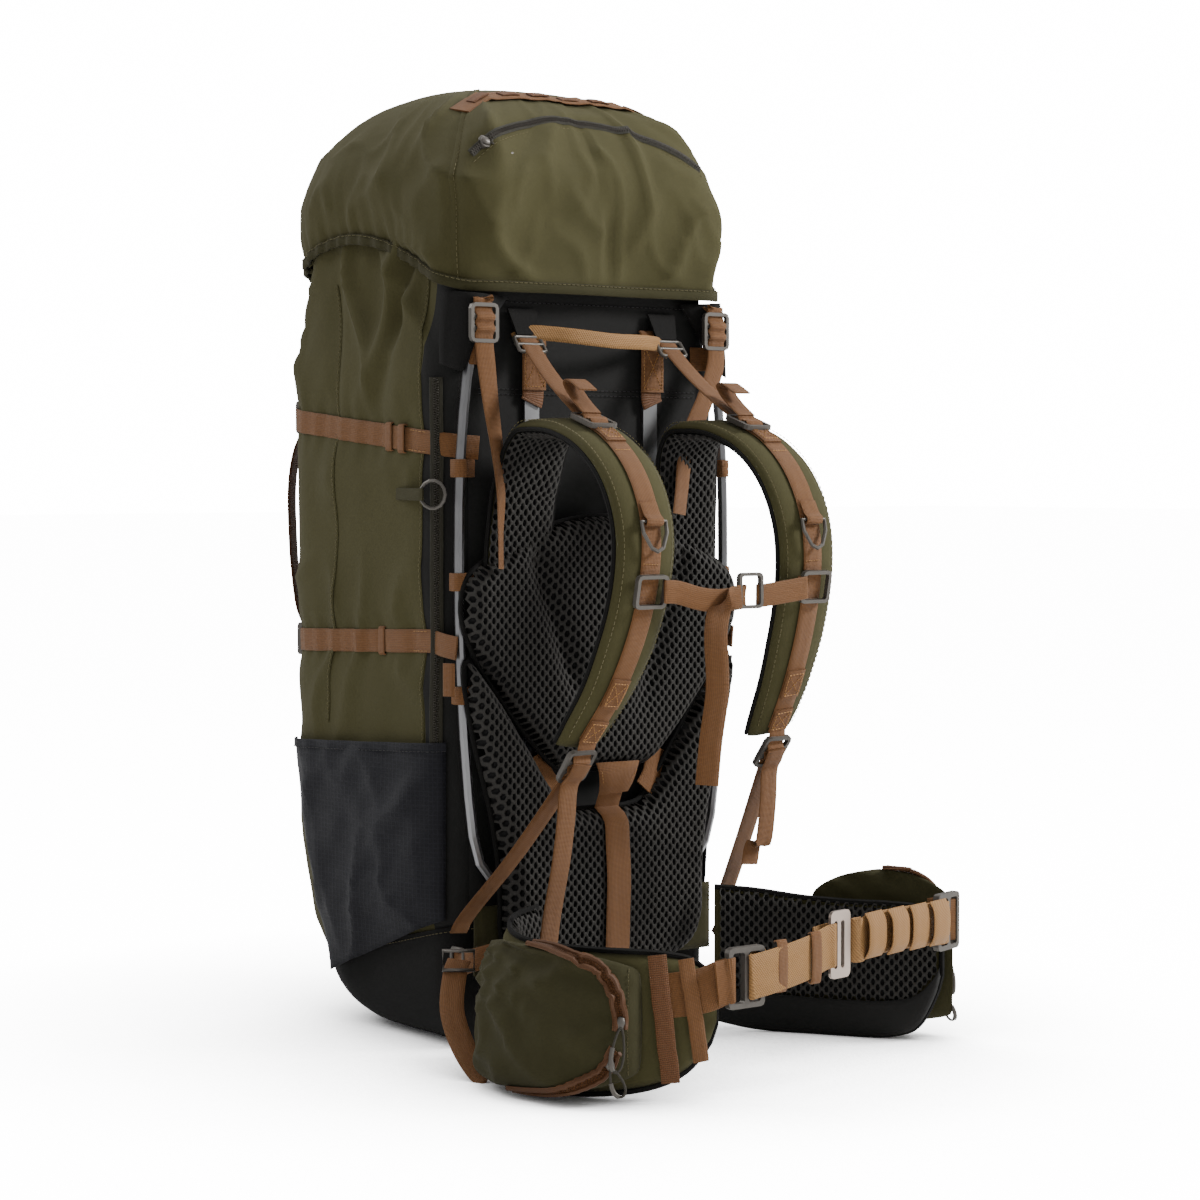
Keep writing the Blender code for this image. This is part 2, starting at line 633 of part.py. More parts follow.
def make_straps():
    """Webbing that ties the moving harness to the pack."""
    for side, word in SIDES:
        top, _, out = strap_frame(side, 0.15)
        start = Vector((side * 0.080, -0.1500, 0.630))
        end = top + out * 0.0165 + Vector((0, 0.024, 0.013))
        middle = start.lerp(end, 0.5) + Vector((0, 0, -0.004))
        strip(f"load_lifter_{word}", smooth([start, middle, end], 3), ACROSS, WEB, WEB_THICK, "webbing")
        bottom, tangent, out = strap_frame(side, 1.0)
        start = bottom + tangent * 0.034 + out * 0.012
        end = Vector((side * 0.1460, -0.150, 0.147))
        middle = start.lerp(end, 0.5) + Vector((0, 0.002, -0.006))
        strip(f"lower_strap_{word}", smooth([start, middle, end], 3), ACROSS, WEB, WEB_THICK, "webbing")


def make_handle():
    route = smooth([(-0.064, -0.1475, 0.642), (-0.045, -0.161, 0.637), (0, -0.1680, 0.634),
                   (0.045, -0.161, 0.637), (0.064, -0.1475, 0.642)], 3)
    strip("grab_handle", route, UP, 0.013, 0.0035, "belt_webbing", origin=HANDLE_PIVOT)


# ---------------------------------------------------------------- hip belt
WING_PLAN = {
    RIGHT: [(-0.098, -0.192), (-0.134, -0.208), (-0.163, -0.245), (-0.174, -0.295), (-0.160, -0.347),
            (-0.124, -0.386), (-0.084, -0.404)],
    LEFT: [(0.098, -0.192), (0.126, -0.215), (0.152, -0.248), (0.176, -0.285), (0.196, -0.318),
           (0.211, -0.343), (0.222, -0.360)],
}
WING_HINGE = {RIGHT: (-0.100, -0.184, 0.1), LEFT: (0.100, -0.184, 0.1)}
WING_LOW = (0.012, 0.004, 0.002, 0.002, 0.004, 0.014, 0.040)
WING_HIGH = (0.134, 0.131, 0.126, 0.124, 0.124, 0.122, 0.112)
WING_THICK = 0.016


def wing_rings(side, thick, out_lift=0.0, first=0, last=None, low_add=0.0, high_add=0.0, bulge=0.0):
    """Upright sections along a belt wing; bulge adds a pouch's depth on the outer side."""
    plan = smooth([(x, y, 0) for x, y in WING_PLAN[side]], 3)
    lows = smooth([(z, 0, 0) for z in WING_LOW], 3)
    highs = smooth([(z, 0, 0) for z in WING_HIGH], 3)
    last = len(plan) if last is None else last
    rings = []
    for i in range(first, last):
        tangent = (plan[min(i + 1, len(plan) - 1)] - plan[max(i - 1, 0)]).normalized()
        out = Vector((tangent.y, -tangent.x, 0)) * (1 if side == RIGHT else -1)
        if out.x * side < 0 and abs(out.x) > 0.2:
            out = -out
        low, high = lows[i].x + low_add, highs[i].x + high_add
        share = (i - first) / max(1, last - 1 - first)
        depth = thick + bulge * math.sin(math.pi * min(1, max(0, share))) ** 0.5
        base = plan[i] + out * out_lift
        corner = 0.012 if bulge else 0.005
        ring = [(0, low + corner), (0, (low + high) / 2), (0, high - corner), (0.3 * depth, high),
                (0.75 * depth, high - corner / 2), (depth, (low + high) / 2 + 0.02),
                (depth, (low + high) / 2 - 0.03),
                (0.7 * depth, low)]
        rings.append([base + out * d + UP * z for d, z in ring])
    return rings


def make_belt():
    core = box_rounded(0.136, 0.0310, 0.010, 2)
    plate("belt_core", [core], 0.0075, facing((0, -0.1390, 0.100), ACROSS, (0, -1, 0)), "olive_cloth")
    for side, word in SIDES:
        hinge = WING_HINGE[side]
        loft(f"belt_wing_{word}", wing_rings(side, WING_THICK), "spacer_mesh", origin=hinge)
        low = 0.004 if side == RIGHT else 0.006
        first, last = (5, 15) if side == RIGHT else (8, 18)
        pouch = wing_rings(side, 0.010, WING_THICK + 0.0012, first, last, low, 0.004, 0.036)
        loft(f"belt_pocket_{word}", pouch, "olive_cloth", origin=hinge)


def make_belt_webbing():
    hinge = WING_HINGE[RIGHT]
    route = smooth([(-0.1060, -0.4190, 0.094), (-0.100, -0.4230, 0.095), (-0.0945, -0.4250, 0.096)], 2)
    strip("belt_tab_right", route, UP, BELT_WEB, BELT_WEB_THICK, "webbing", origin=hinge)
    loop_buckle("belt_buckle_right", (-0.068, -0.4265, 0.101), ACROSS, (0, -1, 0), 0.0195, 0.0255, 0.0045,
                0.006, "buckle_plastic", hinge, split=True)
    route = smooth([(-0.0445, -0.4260, 0.105), (0.000, -0.4210, 0.109), (0.0335, -0.4150, 0.112)], 2)
    strip("belt_webbing_right", route, UP, BELT_WEB, BELT_WEB_THICK, "belt_webbing", origin=hinge)
    hook_loops = [box_rounded(0.0135, 0.0290, 0.005, 3),
                  shifted(box_rounded(0.0024, 0.0205, 0.0015, 1), -0.0068, 0)[::-1],
                  shifted(box_rounded(0.0024, 0.0205, 0.0015, 1), 0.0028, 0)[::-1]]
    along = Vector((0.985, 0.170, 0))
    out = Vector((0.170, -0.985, 0))
    place = facing(HOOK_PIVOT + 0.0135 * along, along, out)
    plate("belt_hook", hook_loops, 0.0028, place, "hook_alloy", origin=HOOK_PIVOT)
    hinge = WING_HINGE[LEFT]
    line = [(0.0690, -0.4085, 0.116), (0.110, -0.4020, 0.118), (0.150, -0.3955, 0.119),
            (0.186, -0.3890, 0.118)]
    route = smooth(line, 2)
    strip("belt_webbing_left", route, UP, BELT_WEB, BELT_WEB_THICK, "belt_webbing", origin=hinge)
    loop_buckle("belt_buckle_left", (0.2075, -0.3825, 0.116), (0.96, 0.28, 0), (0.28, -0.96, 0), 0.0190,
                0.0255, 0.0045, 0.006, "buckle_plastic", hinge, split=True)


# ---------------------------------------------------------------- small moving hardware
def ring_route(centre, radius, axis_x, axis_y, count=14):
    turns = [math.tau * k / count for k in range(count)]
    return [centre + axis_x * radius * math.cos(turn) + axis_y * radius * math.sin(turn) for turn in turns]


def make_small():
    centre = Vector((-0.1695, -0.1240, 0.497))
    ring = ring_route(centre, 0.0125, Vector((0.45, -0.893, 0)).normalized(), UP)
    tube("gear_ring", ring, 0.0016, "buckle_plastic", cyclic=True, sides=1, origin=(*GEAR_PIVOT,))
    tab = box_rounded(0.0065, 0.020, 0.002, 2)
    place = facing(ZIP_TAB, (-0.93, -0.37, 0), (-0.37, -0.93, 0))
    plate("side_zip_tab", [tab], 0.003, place, "webbing", origin=ZIP_TAB)


clear_scene()
pack = collection("hunting_backpack")
make_bag()
make_base()
make_collar()
make_back()
make_hoop()
make_pads()
make_pockets()
make_compression()
make_lid()
make_harness()
make_d_rings()
make_sternum()
make_straps()
make_handle()
make_belt()
make_belt_webbing()
make_small()
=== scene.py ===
"""Looks for the framed hunting backpack: cloth, mesh padding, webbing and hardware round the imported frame."""

import math

import bmesh
import bpy
import numpy as np
from mathutils import Matrix, Vector, noise
from mathutils.bvhtree import BVHTree


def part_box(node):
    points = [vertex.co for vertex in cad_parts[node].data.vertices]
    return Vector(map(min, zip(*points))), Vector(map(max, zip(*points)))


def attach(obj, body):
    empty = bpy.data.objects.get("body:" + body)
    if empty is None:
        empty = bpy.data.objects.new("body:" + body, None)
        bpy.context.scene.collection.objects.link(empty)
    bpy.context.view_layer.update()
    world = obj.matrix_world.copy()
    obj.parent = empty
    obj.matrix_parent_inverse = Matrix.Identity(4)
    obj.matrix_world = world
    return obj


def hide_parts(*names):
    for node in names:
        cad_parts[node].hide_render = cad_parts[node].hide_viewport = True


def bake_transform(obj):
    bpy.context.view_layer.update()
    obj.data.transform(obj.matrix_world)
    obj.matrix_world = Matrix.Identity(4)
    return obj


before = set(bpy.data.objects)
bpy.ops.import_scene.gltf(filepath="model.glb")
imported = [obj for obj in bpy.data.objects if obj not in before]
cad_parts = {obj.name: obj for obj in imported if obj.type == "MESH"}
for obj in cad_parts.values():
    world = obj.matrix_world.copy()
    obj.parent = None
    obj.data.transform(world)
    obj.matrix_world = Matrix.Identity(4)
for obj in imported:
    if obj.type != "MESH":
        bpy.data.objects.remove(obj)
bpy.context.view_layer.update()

ACROSS = Vector((1, 0, 0))
UP = Vector((0, 0, 1))
OUT = Vector((0, -1, 0))
SIDES = ((-1, "right"), (1, "left"))
WEB = 0.021
STRAP_WIDE = WEB - 0.001
STRAP_SHEET = 0.0016
BELT_WIDE = 0.0375
# FLOOR_GLOW is the floor's glow for the camera; near the pack ambient occlusion dims it into a painted contact
# shadow
FLOOR_GLOW = 14.0             # the floor and the backdrop are lit to white, as in a studio
BACKDROP = 16.0
ROOM_LIGHT = 0.50
LAMPS = (("key", 0.9, 150, (2.3, -2.0, 2.1)), ("fill", 2.5, 9, (-3.0, -1.6, 1.2)), ("rim", 1.4, 45,
         (-1.6, 2.2, 2.4)), ("top", 2.0, 45, (0.3, 0.2, 3.2)))


# ---------------------------------------------------------------- camera, floor and light
def make_stage():
    azimuth, elevation, distance = math.radians(-38), math.radians(2.5), 2.70
    back = Vector((math.sin(azimuth) * math.cos(elevation), -math.cos(azimuth) * math.cos(elevation),
                   math.sin(elevation)))
    right = Vector((math.cos(azimuth), math.sin(azimuth), 0))
    place = Matrix((right, back.cross(right), back)).transposed().to_4x4()
    place.translation = Vector((0.02, -0.12, 0.399)) + back * distance
    lens = bpy.data.cameras.new("camera")
    lens.lens = 88
    lens.sensor_width = 36
    camera = bpy.data.objects.new("camera", lens)
    camera.matrix_world = place
    bpy.context.scene.collection.objects.link(camera)
    bpy.context.scene.camera = camera

    floor_mesh = bpy.data.meshes.new("floor")
    reach = 30.0
    floor_mesh.from_pydata([(-reach, -reach, 0), (reach, -reach, 0), (reach, reach, 0), (-reach, reach, 0)], [],
                           [(0, 1, 2, 3)])
    floor = bpy.data.objects.new("floor", floor_mesh)
    bpy.context.scene.collection.objects.link(floor)
    paint = bpy.data.materials.new("floor_paint")
    paint.use_nodes = True
    shader = paint.node_tree.nodes["Principled BSDF"]
    shader.inputs["Base Color"].default_value = (0.94, 0.94, 0.94, 1)
    shader.inputs["Roughness"].default_value = 0.95
    shader.inputs["Emission Color"].default_value = (1, 1, 1, 1)
    seen = paint.node_tree.nodes.new("ShaderNodeLightPath").outputs["Is Camera Ray"]
    glow = paint.node_tree.nodes.new("ShaderNodeMapRange")
    glow.inputs["To Max"].default_value = FLOOR_GLOW
    # ambient occlusion dims the floor's camera-only glow near the pack: a painted contact shadow
    near = paint.node_tree.nodes.new("ShaderNodeAmbientOcclusion")
    near.samples = 8
    near.inputs["Distance"].default_value = 0.45
    soft = paint.node_tree.nodes.new("ShaderNodeMath")
    soft.operation = "POWER"
    soft.inputs[1].default_value = 3.0
    both = paint.node_tree.nodes.new("ShaderNodeMath")
    both.operation = "MULTIPLY"
    paint.node_tree.links.new(near.outputs["AO"], soft.inputs[0])
    paint.node_tree.links.new(soft.outputs[0], both.inputs[0])
    paint.node_tree.links.new(seen, both.inputs[1])
    paint.node_tree.links.new(both.outputs[0], glow.inputs["Value"])
    paint.node_tree.links.new(glow.outputs["Result"], shader.inputs["Emission Strength"])
    floor_mesh.materials.append(paint)

    world = bpy.data.worlds.new("studio")
    bpy.context.scene.world = world
    world.use_nodes = True
    tree = world.node_tree
    backdrop = tree.nodes["Background"]
    backdrop.inputs["Color"].default_value = (1, 1, 1, 1)
    seen = tree.nodes.new("ShaderNodeLightPath").outputs["Is Camera Ray"]
    glow = tree.nodes.new("ShaderNodeMapRange")
    glow.inputs["To Min"].default_value = ROOM_LIGHT
    glow.inputs["To Max"].default_value = BACKDROP
    tree.links.new(seen, glow.inputs["Value"])
    tree.links.new(glow.outputs["Result"], backdrop.inputs["Strength"])
    for name, size, power, where in LAMPS:
        lamp = bpy.data.lights.new(name, "AREA")
        lamp.shape = "DISK"
        lamp.size = size
        lamp.energy = power
        lamp_object = bpy.data.objects.new(name, lamp)
        lamp_object.location = where
        aim = Vector((0, -0.1, 0.42)) - Vector(where)
        lamp_object.rotation_euler = aim.to_track_quat("-Z", "Y").to_euler()
        bpy.context.scene.collection.objects.link(lamp_object)


# ---------------------------------------------------------------- materials
class Nodes:
    """A short way to build a node tree."""

    def __init__(self, name):
        self.material = bpy.data.materials.new(name)
        self.material.use_nodes = True
        self.tree = self.material.node_tree
        self.shader = self.tree.nodes["Principled BSDF"]
        self.place = self.add("ShaderNodeTexCoord").outputs["Object"]

    def add(self, kind, inputs=(), **settings):
        node = self.tree.nodes.new(kind)
        for key, value in settings.items():
            setattr(node, key, value)
        for key, value in dict(inputs).items():
            if isinstance(value, bpy.types.NodeSocket):
                self.tree.links.new(value, node.inputs[key])
            else:
                node.inputs[key].default_value = value
        return node

    def noise(self, scale, detail=3.0, vector=None, rough=0.5):
        return self.add("ShaderNodeTexNoise", {"Vector": vector or self.place, "Scale": scale, "Detail": detail,
                                               "Roughness": rough}).outputs["Fac"]

    def wave(self, period, direction, vector=None, distortion=0.0):
        return self.add("ShaderNodeTexWave", {"Vector": vector or self.place, "Scale": math.tau / 20 / period,
                                              "Distortion": distortion, "Detail": 0.0},
                        bands_direction=direction).outputs["Fac"]

    def mix(self, factor, low, high):
        node = self.add("ShaderNodeMix", data_type="RGBA")
        for key, value in ((0, factor), (6, low), (7, high)):
            if isinstance(value, bpy.types.NodeSocket):
                self.tree.links.new(value, node.inputs[key])
            else:
                node.inputs[key].default_value = value
        return node.outputs[2]

    def sums(self, kind, a, b):
        node = self.add("ShaderNodeMath", operation=kind)
        for key, value in ((0, a), (1, b)):
            if isinstance(value, bpy.types.NodeSocket):
                self.tree.links.new(value, node.inputs[key])
            else:
                node.inputs[key].default_value = value
        return node.outputs[0]

    def finish(self, colour, rough, bump=None, height=0.0002, strength=0.5, **fixed):
        if isinstance(colour, bpy.types.NodeSocket):
            self.tree.links.new(colour, self.shader.inputs["Base Color"])
        else:
            self.shader.inputs["Base Color"].default_value = colour
        if isinstance(rough, bpy.types.NodeSocket):
            self.tree.links.new(rough, self.shader.inputs["Roughness"])
        else:
            self.shader.inputs["Roughness"].default_value = rough
        if bump is not None:
            node = self.add("ShaderNodeBump", {"Height": bump, "Distance": height, "Strength": strength})
            self.tree.links.new(node.outputs["Normal"], self.shader.inputs["Normal"])
        for key, value in fixed.items():
            self.shader.inputs[key.replace("_", " ")].default_value = value
        return self.material


def shade(colour, factor):
    return tuple(min(1.0, c * factor) for c in colour[:3]) + (1.0,)


def cloth_material(name, colour, thread=0.0007, grid=0.0, spread=0.16, rough=0.85, depth=0.00035, sheen=0.02):
    """Plain weave with soft blotches of colour; grid adds the heavier threads of a ripstop."""
    n = Nodes(name)
    turned = n.add("ShaderNodeMapping",
                   {"Vector": n.place, "Rotation": (0, 0, math.radians(45))}).outputs["Vector"]
    warp = n.wave(thread, "X", turned)
    weft = n.wave(thread, "Z")
    weave = n.sums("ADD", warp, weft)
    blotch = n.noise(7.0, 4.0)
    speck = n.noise(420.0, 2.0)
    tone = n.mix(blotch, shade(colour, 1 - spread), shade(colour, 1 + spread))
    tone = n.mix(n.sums("MULTIPLY", speck, 0.28), tone, shade(colour, 0.55))
    bump = n.sums("ADD", n.sums("MULTIPLY", weave, 0.45), n.sums("MULTIPLY", speck, 0.5))
    if grid:
        lines = n.sums("MAXIMUM", n.wave(grid, "X", turned), n.wave(grid, "Z"))
        lines = n.sums("POWER", lines, 9.0)
        tone = n.mix(n.sums("MULTIPLY", lines, 0.45), tone, shade(colour, 2.2))
        bump = n.sums("ADD", bump, n.sums("MULTIPLY", lines, 0.7))
    return n.finish(tone, rough, bump, depth, 0.55, Sheen_Weight=sheen, Sheen_Roughness=0.5,
                    Specular_IOR_Level=0.18)


def webbing_material(name, colour, rib=0.0011, chevron=False):
    """Flat webbing, with ribs across it whose grooves carry painted shade and whose crests carry painted highlight;
    reads the strip's own flat coordinates.
    """
    n = Nodes(name)
    flat = n.add("ShaderNodeAttribute", attribute_name="flat").outputs["Vector"]
    ribs = n.wave(rib, "Y", flat)
    lengthwise = n.wave(0.0016, "X", flat)
    if chevron:
        slanted = n.add("ShaderNodeMapping",
                        {"Vector": flat, "Rotation": (0, 0, math.radians(35))}).outputs["Vector"]
        ribs = n.wave(rib * 1.3, "Y", slanted)
    weave = n.sums("ADD", n.sums("MULTIPLY", ribs, 0.65), n.sums("MULTIPLY", lengthwise, 0.35))
    blotch = n.noise(26.0, 3.0)
    fuzz = n.noise(700.0, 2.0)
    # the rib wave that makes the bump also darkens the grooves and lightens the crests: painted shade and painted
    # highlight
    tone = n.mix(weave, shade(colour, 0.52), shade(colour, 1.2))
    tone = n.mix(n.sums("MULTIPLY", blotch, 0.35), tone, shade(colour, 0.72))
    bump = n.sums("ADD", weave, n.sums("MULTIPLY", fuzz, 0.3))
    return n.finish(tone, 0.6, bump, 0.0006, 0.8, Sheen_Weight=0.05, Sheen_Roughness=0.4,
                    Specular_IOR_Level=0.3)


def metal_material(name, colour, metallic, rough, grain=0.18):
    n = Nodes(name)
    long_grain = n.add("ShaderNodeMapping", {"Vector": n.place, "Scale": (1, 1, 0.06)}).outputs["Vector"]
    streak = n.noise(900.0, 2.0, long_grain)
    smudge = n.noise(30.0, 4.0)
    tone = n.mix(smudge, shade(colour, 0.86), shade(colour, 1.1))
    roughness = n.sums("ADD", rough - grain / 2, n.sums("MULTIPLY", smudge, grain))
    return n.finish(tone, roughness, streak, 0.00006, 0.3, Metallic=metallic)


def plastic_material(name, colour, rough=0.45, metallic=0.0):
    n = Nodes(name)
    fine = n.noise(1500.0, 2.0)
    scuff = n.noise(55.0, 5.0)
    tone = n.mix(scuff, shade(colour, 0.82), shade(colour, 1.18))
    roughness = n.sums("ADD", rough - 0.08, n.sums("MULTIPLY", scuff, 0.16))
    return n.finish(tone, roughness, fine, 0.00008, 0.35, Metallic=metallic)


def mesh_material(name, colour):
    n = Nodes(name)
    knit = n.noise(1300.0, 2.0)
    patch = n.noise(14.0, 3.0)
    tone = n.mix(patch, shade(colour, 0.75), shade(colour, 1.25))
    tone = n.mix(n.sums("MULTIPLY", knit, 0.4), tone, shade(colour, 0.5))
    return n.finish(tone, 0.7, knit, 0.0004, 0.6, Specular_IOR_Level=0.25)


OLIVE = cloth_material("olive_weave", (0.060, 0.0540, 0.0200), depth=0.0003, spread=0.10)
OLIVE_DARK = cloth_material("olive_shade_weave", (0.037, 0.0333, 0.0123))
CHARCOAL = cloth_material("charcoal_weave", (0.0145, 0.0140, 0.0130), thread=0.0009)
BLACK = cloth_material("black_weave", (0.0050, 0.0045, 0.0038), thread=0.0010)
RIPSTOP = cloth_material("navy_ripstop", (0.0068, 0.0068, 0.0095), thread=0.0006, grid=0.0042, rough=0.6)
BROWN = webbing_material("brown_webbing", (0.178, 0.0740, 0.0200))
BROWN_DARK = webbing_material("brown_elastic", (0.130, 0.049, 0.0130), rib=0.0018)
TAN = webbing_material("tan_webbing", (0.330, 0.170, 0.0560), rib=0.0014, chevron=True)
NET = mesh_material("spacer_knit", (0.0300, 0.0275, 0.0240))
# near-black colour for the walls and floors of the mesh holes: painted shade deep in each hole
HOLE_SHADE = mesh_material("spacer_hole_shade", (0.0022, 0.0020, 0.0018))
BUCKLE = metal_material("satin_buckle", (0.105, 0.095, 0.083), 0.55, 0.45)
ALUMINIUM = metal_material("bare_metal", (0.26, 0.26, 0.265), 1.0, 0.36)
HOOK = metal_material("hook_metal", (0.52, 0.43, 0.37), 1.0, 0.38)
CORD = cloth_material("grey_cord", (0.050, 0.045, 0.036), thread=0.0006, depth=0.0002)
THREAD = plastic_material("olive_thread", (0.135, 0.115, 0.050), 0.7)
THREAD_TAN = plastic_material("tan_thread", (0.42, 0.215, 0.075), 0.7)
THREAD_DARK = plastic_material("dark_thread", (0.028, 0.028, 0.027), 0.7)
ZIP_TAPE = webbing_material("zip_tape", (0.026, 0.023, 0.012), rib=0.0009)
ZIP_BROWN = webbing_material("zip_tape_brown", (0.150, 0.060, 0.0170), rib=0.0009)
BOARD = plastic_material("black_sheet", (0.012, 0.012, 0.012), 0.5)


# ---------------------------------------------------------------- geometry helpers
def smooth(points, per_span=4):
    """A Catmull-Rom curve through the points."""
    points = [Vector(p) for p in points]
    ends = [2 * points[0] - points[1], *points, 2 * points[-1] - points[-2]]
    route = []
    for i in range(1, len(ends) - 2):
        a, b, c, d = ends[i - 1 : i + 3]
        for k in range(per_span):
            t = k / per_span
            route.append(0.5 * (2 * b + (c - a) * t + (2 * a - 5 * b + 4 * c - d) * t * t
                                + (3 * b - a - 3 * c + d) * t ** 3))
    return [*route, points[-1]]


def even(route, step):
    """The route again, with points at an even spacing."""
    lengths = [0.0]
    for a, b in zip(route, route[1:]):
        lengths.append(lengths[-1] + (b - a).length)
    count = max(2, round(lengths[-1] / step) + 1)
    made, i = [], 0
    for k in range(count):
        want = lengths[-1] * k / (count - 1)
        while i < len(route) - 2 and lengths[i + 1] < want:
            i += 1
        span = max(1e-9, lengths[i + 1] - lengths[i])
        made.append(route[i].lerp(route[i + 1], min(1, (want - lengths[i]) / span)))
    return made


def frames(route, side):
    """(point, across, outward) along a route; side is a vector, or one for each point."""
    found = []
    for i, point in enumerate(route):
        tangent = (route[min(i + 1, len(route) - 1)] - route[max(i - 1, 0)]).normalized()
        wanted = Vector(side[i]) if isinstance(side, list) else Vector(side)
        across = (wanted - wanted.dot(tangent) * tangent).normalized()
        found.append((point, across, tangent.cross(across).normalized()))
    return found


def build(name, verts, faces, material, body=None, flat=None, smooth_shade=True, indices=None, replaces=(),
          angle=None):
    """Makes a piece from verts and faces, and rides it on a body."""
    mesh = bpy.data.meshes.new(name)
    mesh.from_pydata([tuple(v) for v in verts], [], faces)
    for one in material if isinstance(material, (list, tuple)) else [material]:
        mesh.materials.append(one)
    if indices is not None:
        mesh.polygons.foreach_set("material_index", indices)
    if flat is not None:
        mesh.attributes.new("flat", "FLOAT_VECTOR", "POINT").data.foreach_set("vector",
                            np.array(flat, float).ravel())
    if smooth_shade:
        mesh.shade_smooth()
    if angle:
        mesh.set_sharp_from_angle(angle=math.radians(angle))
    mesh.update()
    obj = bpy.data.objects.new(name, mesh)
    bpy.context.scene.collection.objects.link(obj)
    if body:
        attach(obj, body)
    if replaces:
        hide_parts(*replaces)
    return obj


def recalc(obj):
    mesh = bmesh.new()
    mesh.from_mesh(obj.data)
    bmesh.ops.recalc_face_normals(mesh, faces=mesh.faces)
    mesh.to_mesh(obj.data)
    mesh.free()
    return obj


def ring_loft(name, rings, material, body=None, caps=True, flat=None, replaces=(), angle=None):
    """A skin over rings of equal length."""
    count = len(rings[0])
    verts = [p for ring in rings for p in ring]
    faces = []
    for j in range(len(rings) - 1):
        for k in range(count):
            n = (k + 1) % count
            faces.append((j * count + k, j * count + n, (j + 1) * count + n, (j + 1) * count + k))
    if caps:
        faces.append(tuple(range(count))[::-1])
        faces.append(tuple(range((len(rings) - 1) * count, len(rings) * count)))
    return recalc(build(name, verts, faces, material, body, flat, replaces=replaces, angle=angle))


def ribbon(name, points, side, width, thick, material, body=None, span=5, replaces=(), widths=None, raw=False):
    """Webbing with rounded edges; its flat coordinates run across and along it in metres."""
    route = [Vector(p) for p in points] if raw else smooth(points, span)
    rings, flat, run = [], [], 0.0
    last = route[0]
    for i, (point, across, out) in enumerate(frames(route, side)):
        run += (point - last).length
        last = point
        w = (widths[i] if widths else width) / 2
        t = thick / 2
        profile = ((-w, 0), (-w + t, -t), (-w / 3, -t), (w / 3, -t), (w - t, -t), (w, 0), (w - t, t),
                   (w / 3, t), (-w / 3, t), (-w + t, t))
        rings.append([point + across * a + out * b for a, b in profile])
        flat.extend((a, run, 0) for a, _ in profile)
    return ring_loft(name, rings, material, body, flat=flat, replaces=replaces, angle=60)


def rod(name, route, radius, material, body=None, sides=8, closed=False, replaces=(), side=None):
    """A round cord, pipe or wire along a route."""
    route = [Vector(p) for p in route]
    if closed:
        ends = [route[-1], *route, route[0]]
    else:
        ends = [2 * route[0] - route[1], *route, 2 * route[-1] - route[-2]]
    rings = []
    across = None
    for i in range(1, len(ends) - 1):
        tangent = (ends[i + 1] - ends[i - 1]).normalized()
        wanted = across if across is not None else (Vector(side) if side else
                                                    (UP if abs(tangent.z) < 0.9 else ACROSS))
        across = (wanted - wanted.dot(tangent) * tangent).normalized()
        other = tangent.cross(across)
        rings.append([ends[i] + (across * math.cos(math.tau * k / sides)
            + other * math.sin(math.tau * k / sides)) * radius for k in range(sides)])
    if closed:
        count = len(rings)
        verts = [p for ring in rings for p in ring]
        faces = [(j * sides + k, j * sides + (k + 1) % sides, (j + 1) % count * sides + (k + 1) % sides,
                  (j + 1) % count * sides + k) for j in range(count) for k in range(sides)]
        return recalc(build(name, verts, faces, material, body, replaces=replaces))
    return ring_loft(name, rings, material, body, replaces=replaces, angle=50)


def tree_of(*objs):
    """A search tree over pieces as they are drawn."""
    verts, faces = [], []
    graph = bpy.context.evaluated_depsgraph_get()
    for obj in objs:
        data = obj.evaluated_get(graph).to_mesh()
        base = len(verts)
        verts.extend(obj.matrix_world @ v.co for v in data.vertices)
        faces.extend(tuple(base + k for k in p.vertices) for p in data.polygons)
        obj.evaluated_get(graph).to_mesh_clear()
    return BVHTree.FromPolygons(verts, faces)


def cast(tree, origin, direction, lift=0.0):
    """Where a ray meets the surface, lifted off it against the ray; None if it misses."""
    direction = Vector(direction).normalized()
    hit, normal, _, _ = tree.ray_cast(Vector(origin), direction)
    if hit is None:
        return None
    if normal.dot(direction) > 0:
        normal = -normal
    return hit + normal * lift


def wrinkle(a, b, seed, large=1.0, small=0.4):
    """Smooth repeatable noise on two lengths in metres, about -1 to 1."""
    value = noise.noise(Vector((a * 11, b * 11, seed))) * large
    return value + noise.noise(Vector((a * 31, b * 31, seed + 7.3))) * small


def crease(a, b, seed, sharp=3.2):
    """Long narrow folds, 0 to 1, along the zero lines of a smooth noise."""
    return max(0.0, 1 - abs(noise.noise(Vector((a, b, seed)))) * sharp) ** 2


class Stitches:
    """Rows of thread gathered into one piece."""

    def __init__(self):
        self.verts, self.faces = [], []

    def row(self, route, normals, length=0.0034, gap=0.0017, width=0.00055, lift=0.0003):
        route = [Vector(p) for p in route]
        if callable(normals):
            normals = [normals(p) for p in route]
        elif not isinstance(normals, list):
            normals = [Vector(normals)] * len(route)
        lengths = [0.0]
        for a, b in zip(route, route[1:]):
            lengths.append(lengths[-1] + (b - a).length)

        def at(want):
            i = 0
            while i < len(route) - 2 and lengths[i + 1] < want:
                i += 1
            share = (want - lengths[i]) / max(1e-9, lengths[i + 1] - lengths[i])
            return route[i].lerp(route[i + 1], share), normals[i]

        start = 0.0
        while start + length < lengths[-1]:
            (a, normal), (b, _) = at(start), at(start + length)
            along = (b - a).normalized()
            across = along.cross(normal).normalized() * width / 2
            low, high = normal * (lift - 0.0004), normal * (lift + width * 0.6)
            base = len(self.verts)
            self.verts += [a + low + across, a + low - across, b + low - across, b + low + across,
                           a + along * width + high, b - along * width + high]
            self.faces += [(base, base + 1, base + 4), (base + 2, base + 3, base + 5),
                           (base, base + 4, base + 5, base + 3), (base + 1, base + 2, base + 5, base + 4)]
            start += length + gap

    def done(self, name, material, body):
        if self.verts:
            return build(name, self.verts, self.faces, material, body, smooth_shade=False)
        return None


